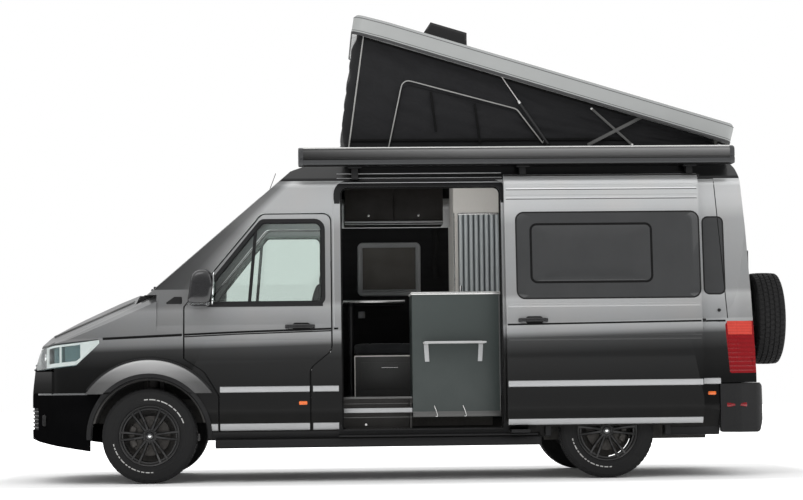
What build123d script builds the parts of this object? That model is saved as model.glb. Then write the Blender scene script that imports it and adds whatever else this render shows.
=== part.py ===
"""Camper van: high-roof panel van with a lifting roof tent, awning, kitchen and open sliding door.

Millimetres. The front points to -X, the left side to -Y, +Z is up, and the tyres stand on z = 0.
Shapes are first laid out from the front axle (x = 0 there) and moved by FRONT_AXLE_X when written.
"""
from build123d import *
import math
import os

# ---- driving dimensions ------------------------------------------------------------
WHEELBASE = 3640
TRACK = 1740                   # between the wheels' middle planes
FRONT_REACH = 1024             # front axle to the foremost point of the bumper
REAR_REACH = 5150              # front axle to the rearmost point of the spare wheel
BODY_HALF = 1020               # half width of the body at the belt
MIRROR_HALF = 1215             # half width over the mirrors
ROOF_Z = 2590
SILL_Z = 335
FLOOR_Z = 660                  # top of the living-room floor
FLOOR_THICK = 50
WALL = 60                      # body wall or door, outer skin to inner lining
GAP = 12                       # seam between a cab door's skin and its frame
INNER_GAP = 21                 # the same at the door's inner half, which swings wider
SKIN = 25                      # depth of a door's outer half
GLASS = 5
GLASS_DEPTH = 20               # glass lies this far under the outer skin
SEAT = 0.3                     # clearance round a seated piece

TYRE_RADIUS = 378
TYRE_WIDTH = 235
TYRE_SIDEWALL = 135            # tread to the rim's edge
TYRE_ROOM = 77                 # round the tyre, inside the wheel arch
FLARE_BAND = 145               # width of the raised band round a wheel arch
FLARE_PROUD = 22
FLARE_RISE = 334               # from the axle up to the foot of the band
HUB_PIN = 24                   # radius of the stub that a wheel turns on
ARM_DROP = 128                 # from the axle down to the lower arms' underside
ARM_DEEP = 35

AXLE_Z = TYRE_RADIUS
RIM_RADIUS = TYRE_RADIUS - TYRE_SIDEWALL
WHEEL_ARCH_RADIUS = TYRE_RADIUS + TYRE_ROOM
FLARE_RADIUS = WHEEL_ARCH_RADIUS + FLARE_BAND
FLARE_FOOT_Z = AXLE_Z + FLARE_RISE
ARM_TOP_Z = AXLE_Z - ARM_DROP + ARM_DEEP

CHIN_Z = 262                   # underside of the front bumper at the wheel arch
BONNET_RISE = 0.46             # slope of the bonnet's crown, and its lift at the axle
BONNET_LIFT = 385
WINDSCREEN_FOOT = (-70, 1519)  # x, z at the middle of the car
WINDSCREEN_TILT = 40.5         # degrees above level
REAR_FACE_X = 4868             # foot of the rear face
REAR_TOP_X = 4731
REAR_DOOR_LOW_Z = 800
REAR_DOOR_TOP_Z = 2440
REAR_DOOR_HALF = 860           # hinge line of the rear doors, from the middle

SLIDE_X0, SLIDE_X1 = 1524, 2817        # opening for the sliding door
SLIDE_LOW_Z, SLIDE_TOP_Z = 400, 2352
SLIDE_DOOR_X0, SLIDE_DOOR_X1 = 2835, 4400
SLIDE_DOOR_OUT = 100                   # how far the open door stands off the body

POP_HINGE = (4700, 2712)               # x, z of the lifting roof's hinge, level with its lower rim
POP_OPEN = 16.8                        # degrees, as parked
POP_FRONT_X = 1495                     # closed roof's front foot
POP_REAR_X = 4735
POP_HALF = 760
POP_THICK = 158
VENT_X, VENT_LONG, VENT_WIDE, VENT_HIGH = 2255, 440, 500, 212    # fan housing on the lifting roof
POP_RIM = 70                           # width of the lifting roof's rim
BASE_RING_Z = 2690                     # top of the frame that the lifting roof closes on
BASE_RING_IN, BASE_RING_OUT = 630, 715 # half widths of that frame
TENT_HALF = 612
HATCH_X0, HATCH_X1, HATCH_HALF = 1700, 3900, 480

FRONT_AXLE_X = -(REAR_REACH - FRONT_REACH) / 2
SILL_IN_Y = 940                        # the cab doors' lower return reaches in to here
REAR_TOP_GAP = 22                      # over the rear doors, whose free edge rises as they open
SIDES = (-1, 1)                        # left, right


# ---- helpers -----------------------------------------------------------------------
def outline(plane, corners):
    """Face on a plane from corners (u, v, corner radius)."""
    path = FilletPolyline(*[(u, v) for u, v, _ in corners], radius=[r for *_, r in corners], close=True)
    return plane * make_face(path.edges())


def along_y(corners, y0, y1):
    """Prism of an x-z outline from y0 to y1."""
    face = Pos(0, y0, 0) * outline(Plane.XZ, corners)
    return extrude(face, y1 - y0, dir=(0, 1, 0))


def along_x(corners, x0, x1):
    """Prism of a y-z outline from x0 to x1."""
    face = Pos(x0, 0, 0) * outline(Plane.YZ, corners)
    return extrude(face, x1 - x0, dir=(1, 0, 0))


def along_z(corners, z0, z1):
    """Prism of an x-y outline from z0 to z1."""
    face = Pos(0, 0, z0) * outline(Plane.XY, corners)
    return extrude(face, z1 - z0, dir=(0, 0, 1))


def block(x0, x1, y0, y1, z0, z1):
    """Box between two corners, in any order."""
    size = (abs(x1 - x0), abs(y1 - y0), abs(z1 - z0))
    return Pos((x0 + x1) / 2, (y0 + y1) / 2, (z0 + z1) / 2) * Box(*size)


def drum(x, y0, y1, z, radius):
    """Cylinder along Y."""
    return Pos(x, (y0 + y1) / 2, z) * Rot(90, 0, 0) * Cylinder(radius, abs(y1 - y0))


def rod(start, end, radius):
    """Round bar between two points."""
    a, b = Vector(*start), Vector(*end)
    plane = Plane(origin=a, z_dir=b - a)
    return extrude(plane * Circle(radius), (b - a).length)


def bar(start, end, width, y0, y1):
    """Flat bar between two x-z points, from y0 to y1."""
    dx, dz = end[0] - start[0], end[1] - start[1]
    length = math.hypot(dx, dz)
    nx, nz = -dz / length * width / 2, dx / length * width / 2
    corners = [(start[0] + nx, start[1] + nz, 0), (end[0] + nx, end[1] + nz, 0),
               (end[0] - nx, end[1] - nz, 0), (start[0] - nx, start[1] - nz, 0)]
    return along_y(corners, y0, y1)


def mirrored(shape, side):
    """The left-hand shape as it is, or its right-hand image."""
    return shape if side < 0 else mirror(shape, about=Plane.XZ)


def write(name, *solids):
    """One STEP file of one or several solids, moved into the object's own frame."""
    found = [s for item in solids for s in item.solids()]
    moved = [Pos(FRONT_AXLE_X, 0, 0) * s for s in found]
    export_step(moved[0] if len(moved) == 1 else Compound(children=moved), f"parts/{name}.step")
    print(name, len(found))


# ---- body envelope -----------------------------------------------------------------
def section(inset):
    """Body cross-section in y-z, right half then left half: (y, z, corner radius)."""
    right = [(930 - inset, SILL_Z + inset, 20), (BODY_HALF - 10 - inset, 560, 120),
             (BODY_HALF - inset, 1130, 60), (BODY_HALF - 22 - inset, 1250, 60),
             (905 - inset, 2400 - inset / 2, 110), (640 - inset / 2, 2572 - inset, 260),
             (0, ROOF_Z - inset, 2000)]
    return right + [(-y, z, r) for y, z, r in reversed(right[:-1])]


def screen_x(z):
    """x on the windscreen's middle line at a height."""
    return WINDSCREEN_FOOT[0] + (z - WINDSCREEN_FOOT[1]) / math.tan(math.radians(WINDSCREEN_TILT))


def cabin_side(inset):
    """Side view of the passenger body, without the bonnet, in x-z."""
    foot = WINDSCREEN_FOOT[0]
    shift = inset / math.sin(math.radians(WINDSCREEN_TILT))
    top = ROOF_Z - inset
    return [(foot + shift, SILL_Z + inset, 0), (WINDSCREEN_FOOT[0] + shift, WINDSCREEN_FOOT[1], 0),
            (screen_x(top) + shift, top, 1000 - inset), (REAR_TOP_X + 15 - inset, top, 130),
            (4835 - inset, 1417, 900), (REAR_FACE_X - inset, 831, 900),
            (REAR_FACE_X - inset, SILL_Z + inset, 0)]


def cabin_plan(inset):
    """Plan of the passenger body in x-y."""
    right = [(REAR_FACE_X + 30 - inset, 880 - inset, 90), (4700, 985 - inset, 200),
             (4300, BODY_HALF - inset, 900),
             (450, BODY_HALF - inset, 900), (-80, 1000 - inset, 0)]
    return right + [(x, -y, r) for x, y, r in reversed(right)]


def screen_wrap(inset):
    """Prism leaning with the windscreen, bowed in plan, that rounds the front of the cabin."""
    half, bow, low, high = 1050, 105, SILL_Z - 50, ROOF_Z + 60
    face_x = lambda z: screen_x(z) + inset / math.sin(math.radians(WINDSCREEN_TILT))
    arc = ThreePointArc((bow, half, 0), (0, 0, 0), (bow, -half, 0))
    back = Polyline((bow, -half, 0), (6500, -half, 0), (6500, half, 0), (bow, half, 0))
    face = Pos(face_x(low), 0, low) * make_face(arc.edges() + back.edges())
    return extrude(face, math.hypot(high - low, screen_x(high) - screen_x(low)),
                   dir=(screen_x(high) - screen_x(low), 0, high - low))


def cabin(inset):
    """Solid passenger body, inset from the outer skin."""
    body = along_y(cabin_side(inset), -1200, 1200) & along_x(section(inset), -200, 5100)
    return body & along_z(cabin_plan(inset), 100, 2700) & screen_wrap(inset)


def nose_side(inset):
    """Side view of the nose in x-z."""
    return [(60, CHIN_Z - inset, 0), (60, 1540 - inset, 0), (-75, 1530 - inset, 60), (-300, 1452 - inset, 500),
            (-560, 1342 - inset, 500), (-830 + inset, 1178 - inset, 160), (-968 + inset, 930, 200),
            (-FRONT_REACH + inset, 680, 200), (-FRONT_REACH + inset, 480, 200),
            (-FRONT_REACH + 12 + inset, SILL_Z + 15 - inset, 0), (-WHEEL_ARCH_RADIUS - 20, CHIN_Z - inset, 0)]


def nose_plan(inset):
    """Plan of the nose in x-y."""
    right = [(60, 1006 - inset, 0), (-300, 985 - inset, 500), (-740, 925 - inset, 260),
             (-905 + inset, 640 - inset / 2, 300), (-FRONT_REACH - 6 + inset, 200, 900)]
    return right + [(x, -y, r) for x, y, r in reversed(right)]


def hood(inset):
    """Solid nose before its bonnet is crowned."""
    return along_y(nose_side(inset), -1100, 1100) & along_z(nose_plan(inset), 100, 1700)


def nose(inset):
    """Solid nose, inset from the outer skin, with a bonnet that falls to both sides."""
    crown = [(1100, 300, 0), (1100, 985 - inset, 0), (900 - inset, 1075 - inset, 90),
             (0, 1262 - inset, 2000)]
    crown = crown + [(-y, z, r) for y, z, r in reversed(crown[:-1])]
    face = Pos(-1100, 0, 0) * outline(Plane.YZ, crown)
    fall = extrude(Pos(0, 0, -1100 * BONNET_RISE + BONNET_LIFT) * face, 1300, dir=(1, 0, BONNET_RISE))
    low = block(-1100, 100, -1100, 1100, 200, 1000)
    return hood(inset) & (fall + low)


CABIN_OUT = cabin(0)
CABIN_IN = cabin(WALL)
NOSE_OUT = nose(0)
NOSE_IN = nose(30)

# ---- outlines on the body side, x-z ------------------------------------------------
DOOR_FRONT_X = 270
DOOR_REAR_X = 1455
DOOR_STEP_X = 1282
DOOR_LOW_Z = 345
DOOR_TOP_Z = 2143


def pillar_x(z, back=0):
    """x of the windscreen pillar's rear edge at a height."""
    return 330 + back + (z - 1412) * (858 - 341) / (2043 - 1412)


def front_door(gap):
    """Outline of a cab door; gap shrinks it all round."""
    g = gap
    return [(DOOR_FRONT_X + g, 1395, 30), (DOOR_FRONT_X + g, 985, 20), (430 + g, 880, 120), (545 + g, 690, 60),
            (545 + g, DOOR_LOW_Z + g, 20), (DOOR_STEP_X - g, DOOR_LOW_Z + g, 20), (DOOR_STEP_X - g, 900, 90),
            (DOOR_REAR_X - g, 1040, 90), (DOOR_REAR_X - g, DOOR_TOP_Z - g, 60),
            (pillar_x(DOOR_TOP_Z, -40) + g, DOOR_TOP_Z - g, 60)]


def front_window(grow):
    """Outline of a cab door's window."""
    g = grow
    return [(pillar_x(1412, 45) - g, 1425 - g, 20), (1375 + g, 1425 - g, 40),
            (1375 + g, 2070 + g, 60), (pillar_x(2070, 30) - g, 2070 + g, 40)]


PANE_LAYER = cabin(GLASS_DEPTH) - cabin(GLASS_DEPTH + GLASS)
REBATE_LAYER = cabin(GLASS_DEPTH - SEAT) - cabin(GLASS_DEPTH + GLASS + SEAT)
PANE_LAP = 12                  # glass reaches this far behind its window's edge


def pane(corners, y0, y1):
    """Curved glass: a thin slice of the body side under an outline."""
    return PANE_LAYER & along_y(corners, y0, y1)


def rebate(corners, y0, y1):
    """Groove that takes a pane."""
    return REBATE_LAYER & along_y(corners, y0, y1)


def arch(x, radius, y0, y1, low=0):
    """Round wheel opening: a drum with a straight foot down to the ground."""
    return drum(x, y0, y1, AXLE_Z, radius) + block(x - radius, x + radius, y0, y1, low, AXLE_Z)


# fixed windows: name, x0, x1, z0, z1, corner radius
REAR_QUARTER = (4452, 4600, 1475, 2075, 40)
RIGHT_WINDOWS = [(1620, 2400, 1500, 2060, 90), (2950, 4350, 1480, 2080, 90)]
DOOR_WINDOW = (2935, 4385, 1440, 2120, 60)


def rect(x0, x1, z0, z1, r, grow=0):
    """Rounded rectangle in x-z, grown by a margin."""
    return [(x0 - grow, z0 - grow, r), (x1 + grow, z0 - grow, r),
            (x1 + grow, z1 + grow, r), (x0 - grow, z1 + grow, r)]


SCUTTLE_Z = 1495               # under the foot of the windscreen


# ---- body panels -------------------------------------------------------------------
def body_shell():
    """Hollow passenger body with wheel arches, hatch and every door and window cut."""
    shell = CABIN_OUT - CABIN_IN
    shell -= block(-200, 5100, -900, 900, 0, FLOOR_Z - FLOOR_THICK)
    shell -= arch(0, WHEEL_ARCH_RADIUS, -1200, 1200)
    shell -= arch(WHEELBASE, WHEEL_ARCH_RADIUS, -1200, 1200)
    shell -= block(HATCH_X0, HATCH_X1, -HATCH_HALF, HATCH_HALF, 2300, 2700)
    for side in SIDES:
        reach = sorted((side * 500, side * 1200))
        shell -= along_y(front_door(0), *reach)
    shell -= along_y(rect(SLIDE_X0, SLIDE_X1, SLIDE_LOW_Z, SLIDE_TOP_Z, 60), -1200, -500)
    shell -= along_y(rect(*REAR_QUARTER), -1200, -500)
    shell -= rebate(rect(*REAR_QUARTER, grow=PANE_LAP + SEAT), -1200, -500)
    for window in RIGHT_WINDOWS:
        shell -= along_y(rect(*window), 500, 1200) + rebate(rect(*window, grow=PANE_LAP + SEAT), 500, 1200)
    shell -= block(4545, 5100, -1200, 1200, 200, 749)
    half = REAR_DOOR_HALF
    doorway = [(half, REAR_DOOR_LOW_Z, 20), (half, 1900, 0), (half - 40, REAR_DOOR_TOP_Z, 60)]
    doorway = doorway + [(-y, z, r) for y, z, r in reversed(doorway)]
    shell -= along_x(doorway, 4500, 5000)
    shell -= along_x(screen_frame(0), -300, 1350)
    return shell - block(-200, 60, -1100, 1100, 200, SCUTTLE_Z) - block(0, 200, -930, 930, 200, SCUTTLE_Z)


def screen_frame(grow):
    """Windscreen outline seen from the front, y-z."""
    right = [(838 + grow, 1500 - grow, 60), (758 + grow, 2290 + grow, 90)]
    return right + [(-y, z, r) for y, z, r in reversed(right)]


BODY = body_shell()
ROOF_SPLIT_Z = 2380
LAMP = (4600, 4900, 825, 1250)     # tail lamp pocket: x0, x1, z0, z1
LAMP_BED = cabin(45)
FENDER_X = DOOR_FRONT_X            # rear edge of the front wing
FLARE_REAR_X = FLARE_RADIUS - 55        # rear edge of the wing where the flare meets the side
FENDER_ZONE = block(-200, FENDER_X, -1200, 1200, 200, 1400)
FENDER_ZONE += block(0, FLARE_REAR_X, -1200, 1200, FLARE_FOOT_Z - 12, AXLE_Z + FLARE_RADIUS + 22)
RAIL_Z = 1215


def tail_lamps():
    """Lamps at both rear corners, set into the body."""
    return [pocket & CABIN_OUT for pocket in lamp_pockets()]


def lamp_pockets():
    """Pockets that hold the tail lamps."""
    x0, x1, z0, z1 = LAMP
    corners = [(x0 + 35, z0, 15), (x1 + 50, z0, 15), (x1 + 50, z1, 15), (x0, z1 - 15, 30)]
    band = along_y(corners, -1100, 1100) - LAMP_BED
    return [band & block(x0, x1 + 80, side * (REAR_DOOR_HALF + 12), side * 1150, z0, z1) for side in SIDES]


def side_panels():
    """Left and right body sides, below the roof."""
    lower = (BODY & block(-200, 5000, -1100, 1100, 200, ROOF_SPLIT_Z)) - FENDER_ZONE
    for pocket in lamp_pockets():
        lower -= pocket
    for side in SIDES:
        lower += wheel_flare(WHEELBASE, side)
    left = lower & block(-200, 5000, -1100, 0, 200, ROOF_SPLIT_Z)
    right = lower & block(-200, 5000, 0, 1100, 200, ROOF_SPLIT_Z)
    rail = along_y(rect(SLIDE_X1 + 20, 4440, RAIL_Z - 22, RAIL_Z + 22, 8), -BODY_HALF - 12, -BODY_HALF + 30)
    return left + rail, right


def wheel_flare(x, side):
    """Raised band round a wheel opening."""
    flare = drum(x, side * (BODY_HALF - 40), side * (BODY_HALF + FLARE_PROUD), AXLE_Z, FLARE_RADIUS)
    flare -= drum(x, side * 880, side * 1100, AXLE_Z, WHEEL_ARCH_RADIUS)
    return flare & block(x - 700, x + FLARE_RADIUS - 80, side * 880, side * 1100, FLARE_FOOT_Z, 1100)


def roof_panel():
    """Roof skin from the split line up, with the frame and brackets of the lifting roof."""
    skin = BODY & block(-200, 5000, -1100, 1100, ROOF_SPLIT_Z, 2700)
    x0, x1 = POP_FRONT_X + 70, POP_HINGE[0] - 20
    ring = block(x0, x1, -BASE_RING_OUT, BASE_RING_OUT, 2500, BASE_RING_Z)
    ring -= block(x0 + 40, x1 - 40, -BASE_RING_IN, BASE_RING_IN, 2400, 2800)
    skin += ring - CABIN_OUT
    for side in SIDES:
        x, z = STRUT_FOOT
        y = side * (STRUT_Y + 11.4)
        skin += block(x - 15, x + 15, y, y + side * 12, BASE_RING_Z - 5, z + 12)
        x, z = LOWER_BAR[0]
        y = side * (LOWER_BAR_Y[0] - SEAT)
        skin += block(x - 15, x + 15, y, side * BASE_RING_IN, BASE_RING_Z - 5, z + 12)
        for hinge_y in (BASE_RING_OUT - 60, 100):
            x, z = POP_HINGE
            post = block(x - 20, x + 20, side * hinge_y, side * (hinge_y - 50), BASE_RING_Z - 60, z - 8.3)
            skin += post - CABIN_OUT
    return skin


def front_fenders():
    """Wings beside the bonnet with their round arch flares, left and right."""
    made = []
    skin = (NOSE_OUT - NOSE_IN) & block(-1100, 60, -1100, 1100, SILL_Z, 1600)
    corner = (CABIN_OUT - CABIN_IN) & FENDER_ZONE & block(60, FLARE_REAR_X, -1100, -700, SILL_Z, 1400)
    for side in SIDES:
        half = skin & block(-760, 60, side * BONNET_HALF, side * 1100, FLARE_FOOT_Z, 1490)
        half += mirrored(corner, side)
        half -= arch(0, WHEEL_ARCH_RADIUS, -1200, 1200)
        half -= BUMPER_ZONE
        half -= LAMP_ZONE
        half -= along_y(front_door(0), *sorted((side * 500, side * 1200)))
        made.append(half + wheel_flare(0, side))
    return made


BONNET_HALF = 800
BONNET_REAR_X = -120
INTAKE_HALF, INTAKE_Z, INTAKE_DEEP = 560, (424, 602), 14    # air intake in the front bumper
BUMPER_ZONE = block(-1200, -400, -1200, 1200, 200, FLARE_FOOT_Z) + block(-1200, -780, -1200, 1200, 200, 895)
LAMP_ZONE = along_y([(-1100, 890, 0), (-580, 935, 20), (-355, 1152, 20), (-770, 1112, 20), (-1100, 1020, 0)],
                    -1200, -430)
LAMP_ZONE += mirror(LAMP_ZONE, about=Plane.XZ)


def bonnet():
    """Bonnet skin between the wings, from the grille to the windscreen."""
    half = BONNET_HALF - 6
    skin = (NOSE_OUT - NOSE_IN) & block(-1100, BONNET_REAR_X, -half, half, 1030, 1600)
    return skin - LAMP_ZONE - block(-1100, -600, -1000, 1000, 900, 1076)


def nose_pieces():
    """Front bumper, grille and headlamps."""
    skin = (NOSE_OUT - nose(60)) & block(-1100, -395, -1100, 1100, 200, 1200)
    bumper = skin & BUMPER_ZONE
    bumper -= arch(0, WHEEL_ARCH_RADIUS + 15, -1200, 1200)
    bumper += block(-840, -760, -900, 900, 520, 600) & NOSE_OUT
    bumper -= (NOSE_OUT - nose(INTAKE_DEEP)) & block(-1100, -700, -INTAKE_HALF, INTAKE_HALF, *INTAKE_Z)
    bumper -= rod((-850, TOW_EYE_Y, TOW_EYE_Z), (-750, TOW_EYE_Y, TOW_EYE_Z), TOW_EYE_HOLE)
    bumper -= rod((-1100, TOW_EYE_Y, TOW_EYE_Z), (-845, TOW_EYE_Y, TOW_EYE_Z), 30)
    grille = skin & block(-1100, -700, -420, 420, 895, 1068)
    inner = nose(2) - nose(58)
    lamps = [inner & LAMP_ZONE & block(-1100, -300, side * 432, side * 1100, 890, 1150) for side in SIDES]
    return bumper - grille, grille, lamps


def cowl_panel():
    """Bulkhead and scuttle between the engine bay and the cab."""
    wall = block(60, 90, -640, 640, FLOOR_Z - FLOOR_THICK, 860) + block(60, 90, -780, 780, 860, SCUTTLE_Z - 8)
    return wall + ((hood(34) - hood(90)) & block(-85, 61, -780, 780, 1300, SCUTTLE_Z))


def windscreen():
    """Bowed windscreen in the cabin's front opening."""
    slab = cabin(12) - cabin(12 + GLASS + 1)
    return slab & along_x(screen_frame(-SEAT), -300, 1350)


def floor_pan():
    """Floor of cab and living room with the step at the sliding door."""
    low = FLOOR_Z - FLOOR_THICK
    plan = [(90, -880, 20), (4780, -880, 200), (4780, 880, 200), (90, 880, 20)]
    plate = along_z(plan, low, FLOOR_Z) & cabin(WALL + SEAT)
    for x, wall_y in ((0, 555), (WHEELBASE, 640)):
        for side in SIDES:
            plate -= block(x - 500, x + 500, side * wall_y, side * 1000, low - 10, FLOOR_Z + 10)
    x0, x1, y0, y1 = SLIDE_X0 + 10, STEP_X1, -900, STEP_IN_Y
    plate -= block(x0, x1, y0, y1, low - 10, FLOOR_Z + 10)
    well = block(x0 - 15, x1 + 15, y0 + 25, y1 + 15, SLIDE_LOW_Z, low)
    well -= block(x0, x1, y0, y1, SLIDE_LOW_Z + 15, low)
    return plate + (well & cabin(WALL + SEAT))


STEP_X1, STEP_IN_Y = 2070, -640        # step well at the sliding door


def arch_liners():
    """Plastic shells over the four wheels."""
    made = []
    for x in (0, WHEELBASE):
        for side in SIDES:
            y0, y1 = side * 660, side * 975
            wall = 12 if x else 0
            outer = drum(x, y0, y1, AXLE_Z, WHEEL_ARCH_RADIUS - SEAT)
            inner = drum(x, y0 + side * wall, y1, AXLE_Z, WHEEL_ARCH_RADIUS - 15)
            made.append((outer - inner) & block(x - 500, x + 500, side * 600, side * 1000, 480, 1000))
    return made


# ---- underbody ---------------------------------------------------------------------
RAIL_Y, RAIL_HALF_W = 430, 40
HITCH_SPACING_Y, HITCH_SPACING_Z, HITCH_Z, HITCH_HOLE = 300, 40, 570, 6.5
TOW_EYE_Y, TOW_EYE_Z, TOW_EYE_HOLE = 400, 560, 12
RAIL_LOW_Z = FLOOR_Z - FLOOR_THICK - 90
LEAF_REACH = 700                       # half length of a rear leaf spring
STEER_Y = TRACK / 2 - 80               # the front wheels steer about upright lines here


def underbody_frame():
    """Two long rails and cross members under the floor."""
    top = FLOOR_Z - FLOOR_THICK
    made = []
    for side in SIDES:
        y0, y1 = side * (RAIL_Y - RAIL_HALF_W), side * (RAIL_Y + RAIL_HALF_W)
        made.append(block(-760, 4780, y0, y1, top - 90, top))
    frame = made[0] + made[1]
    for x in (-720, 90, 1100, 2000, 2950, 4250, 4740):
        frame += block(x - 35, x + 35, -RAIL_Y, RAIL_Y, top - 80, top)
    for x in (1400, 2900):
        frame += block(x - 30, x + 30, -850, 850, top - 50, top)
    for y in (-HITCH_SPACING_Y / 2, HITCH_SPACING_Y / 2):
        for z in (HITCH_Z - HITCH_SPACING_Z / 2, HITCH_Z + HITCH_SPACING_Z / 2):
            frame -= rod((4700, y, z), (4780, y, z), HITCH_HOLE)
    return frame


def rear_axle():
    """Beam axle on two leaf springs with dampers."""
    beam = drum(WHEELBASE, -TRACK / 2 + 90, TRACK / 2 - 90, AXLE_Z, 45)
    for side in SIDES:
        hub = side * (TRACK / 2 - 90)
        beam += drum(WHEELBASE, hub, hub + side * 25, AXLE_Z, 90)
        beam += drum(WHEELBASE, hub, hub + side * 85, AXLE_Z, HUB_PIN)
        y0, y1 = side * (RAIL_Y + 50), side * (RAIL_Y + 120)
        x0, x1, z = WHEELBASE - LEAF_REACH, WHEELBASE + LEAF_REACH, AXLE_Z + 46
        leaf = along_y([(x0, z + 46, 0), (x0, z + 72, 0), (WHEELBASE, z + 28, 2500),
                        (x1, z + 72, 0), (x1, z + 46, 0), (WHEELBASE, z, 2500)], y0, y1)
        beam += leaf + block(WHEELBASE - 60, WHEELBASE + 60, y0, y1, AXLE_Z + 22, AXLE_Z + 72)
        for x in (x0 + 10, x1 - 10):
            beam += block(x - 25, x + 25, side * RAIL_Y, y1, z + 46, RAIL_LOW_Z)
    return beam


def front_suspension():
    """Subframe, lower arms and struts at the front."""
    top = AXLE_Z - 18
    frame = block(-260, 320, -420, 420, top - 60, top) - block(-160, 220, -300, 300, top - 70, top + 10)
    for x in (-200, 180):
        frame += block(x, x + 80, -420, 420, top, RAIL_LOW_Z)
    for side in SIDES:
        low = AXLE_Z - ARM_DROP
        arm = along_z([(-220, side * 400, 20), (220, side * 400, 20), (50, side * 640, 40),
                       (35, side * 735, 20), (-35, side * 735, 20), (-50, side * 640, 40)], low, ARM_TOP_Z)
        frame += arm + block(-30, 30, side * 380, side * 430, low, low + 80)
    rail_y = RAIL_Y + RAIL_HALF_W
    towers = []
    for side in SIDES:
        tower = rod((0, side * 600, AXLE_Z + 182), (0, side * 570, 990), 45)
        tower += block(-70, 50, side * rail_y, side * 640, 985, 1010)
        towers.append(tower + block(-75, -50, side * rail_y, side * (rail_y + 60), RAIL_LOW_Z, 1010))
    return [frame] + towers


def wheel_parts(x, side):
    """Tyre and rim, centred on a wheel's middle plane."""
    y = side * TRACK / 2
    half = TYRE_WIDTH / 2
    ring = [(RIM_RADIUS - 10, half - 22, 10), (RIM_RADIUS + 50, half, 30),
            (TYRE_RADIUS - 18, half - 6, 14), (TYRE_RADIUS, half - 34, 14)]
    ring += [(u, -v, r) for u, v, r in reversed(ring)]
    tyre = revolve(outline(Plane.XY, ring), Axis.Y)
    depth = half - 20
    rim = Rot(90, 0, 0) * Cylinder(RIM_RADIUS - 10.3, 2 * depth)
    rim -= Rot(90, 0, 0) * Cylinder(RIM_RADIUS - 30, 2 * depth + 10)
    face = drum(0, side * 40, side * 75, 0, RIM_RADIUS - 22)
    for k in range(6):
        face -= Rot(0, 60 * k, 0) * Pos(RIM_RADIUS - 85, 0, 0) * Rot(90, 0, 0) * Cylinder(38, 400)
    face += drum(0, side * (-20), side * 60, 0, 80)
    bore = drum(0, side * (-60), side * 30, 0, HUB_PIN + SEAT)
    return Pos(x, y, AXLE_Z) * tyre, Pos(x, y, AXLE_Z) * (rim + face - bore)


def knuckle(side):
    """Front stub axle that carries the wheel."""
    y = side * TRACK / 2
    body = block(-35, 35, y - side * 170, y - side * 110, AXLE_Z - 85, AXLE_Z + 110)
    body += drum(0, y - side * 150, y - side * 35, AXLE_Z, 60)
    body += drum(0, y - side * 60, y + side * 25, AXLE_Z, HUB_PIN)
    body += Pos(0, y - side * 148, ARM_TOP_Z + SEAT + 3.9) * Cylinder(20, 7.8)
    body += block(60, 160, y - side * 170, y - side * 140, AXLE_Z - 20, AXLE_Z + 20)
    return body + block(20, 70, y - side * 170, y - side * 140, AXLE_Z - 20, AXLE_Z + 20)


# ---- doors -------------------------------------------------------------------------
SKIN_BED = cabin(SKIN)
CAB_HINGES_Z = (1010, 1250)


def cab_door(side):
    """Hollow-windowed cab door and its glass."""
    reach = sorted((side * 500, side * 1200))
    shell = (CABIN_OUT - SKIN_BED) & along_y(front_door(GAP), *reach)
    shell += (cabin(SKIN - 1) - CABIN_IN) & along_y(front_door(INNER_GAP), *reach)
    shell -= block(DOOR_FRONT_X, DOOR_REAR_X, -SILL_IN_Y, SILL_IN_Y, 200, FLOOR_Z - FLOOR_THICK)
    shell -= along_y(front_window(0), *reach) + rebate(front_window(PANE_LAP + SEAT), *reach)
    for z in CAB_HINGES_Z:
        shell += block(FENDER_X + SEAT, DOOR_FRONT_X + INNER_GAP + 5,
                       side * (BODY_HALF - 55), side * (BODY_HALF - 35), z, z + 60)
    return shell, pane(front_window(PANE_LAP), *reach)


def door_mirror(side):
    """Tall housing on two arms from the window's front corner."""
    head = along_y([(290, 1385, 40), (500, 1385, 60), (530, 1560, 90), (500, 1690, 60), (345, 1690, 60)],
                   side * 1060, side * MIRROR_HALF)
    arm = block(390, 460, side * 960, side * 1061, 1402, 1440)
    return head + (arm - CABIN_OUT)


def rear_door(side):
    """Rear door with its window opening and glass."""
    y0, y1 = 6, REAR_DOOR_HALF - 6
    low, top = REAR_DOOR_LOW_Z + 6, REAR_DOOR_TOP_Z - REAR_TOP_GAP
    corners = [(side * y0, low, 5), (side * y1, low, 15), (side * (y1 - 40), top, 50), (side * y0, top, 5)]
    hole = [(side * 130, 1500, 60), (side * 740, 1500, 60), (side * 715, 2080, 60), (side * 130, 2080, 60)]
    shell = (CABIN_OUT - CABIN_IN) & along_x(corners, 4500, 5000)
    shell -= along_x(hole, 4500, 5000)
    middle = (side * 430, 1790)
    grown = lambda by: [(u + math.copysign(by, u - middle[0]), v + math.copysign(by, v - middle[1]), r)
                        for u, v, r in hole]
    shell -= REBATE_LAYER & along_x(grown(PANE_LAP + SEAT), 4500, 5000)
    return shell, PANE_LAYER & along_x(grown(PANE_LAP), 4500, 5000)


SPARE_Y, SPARE_Z = -420, 1275
SPARE_CENTRE_X = REAR_REACH - TYRE_WIDTH / 2


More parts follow.
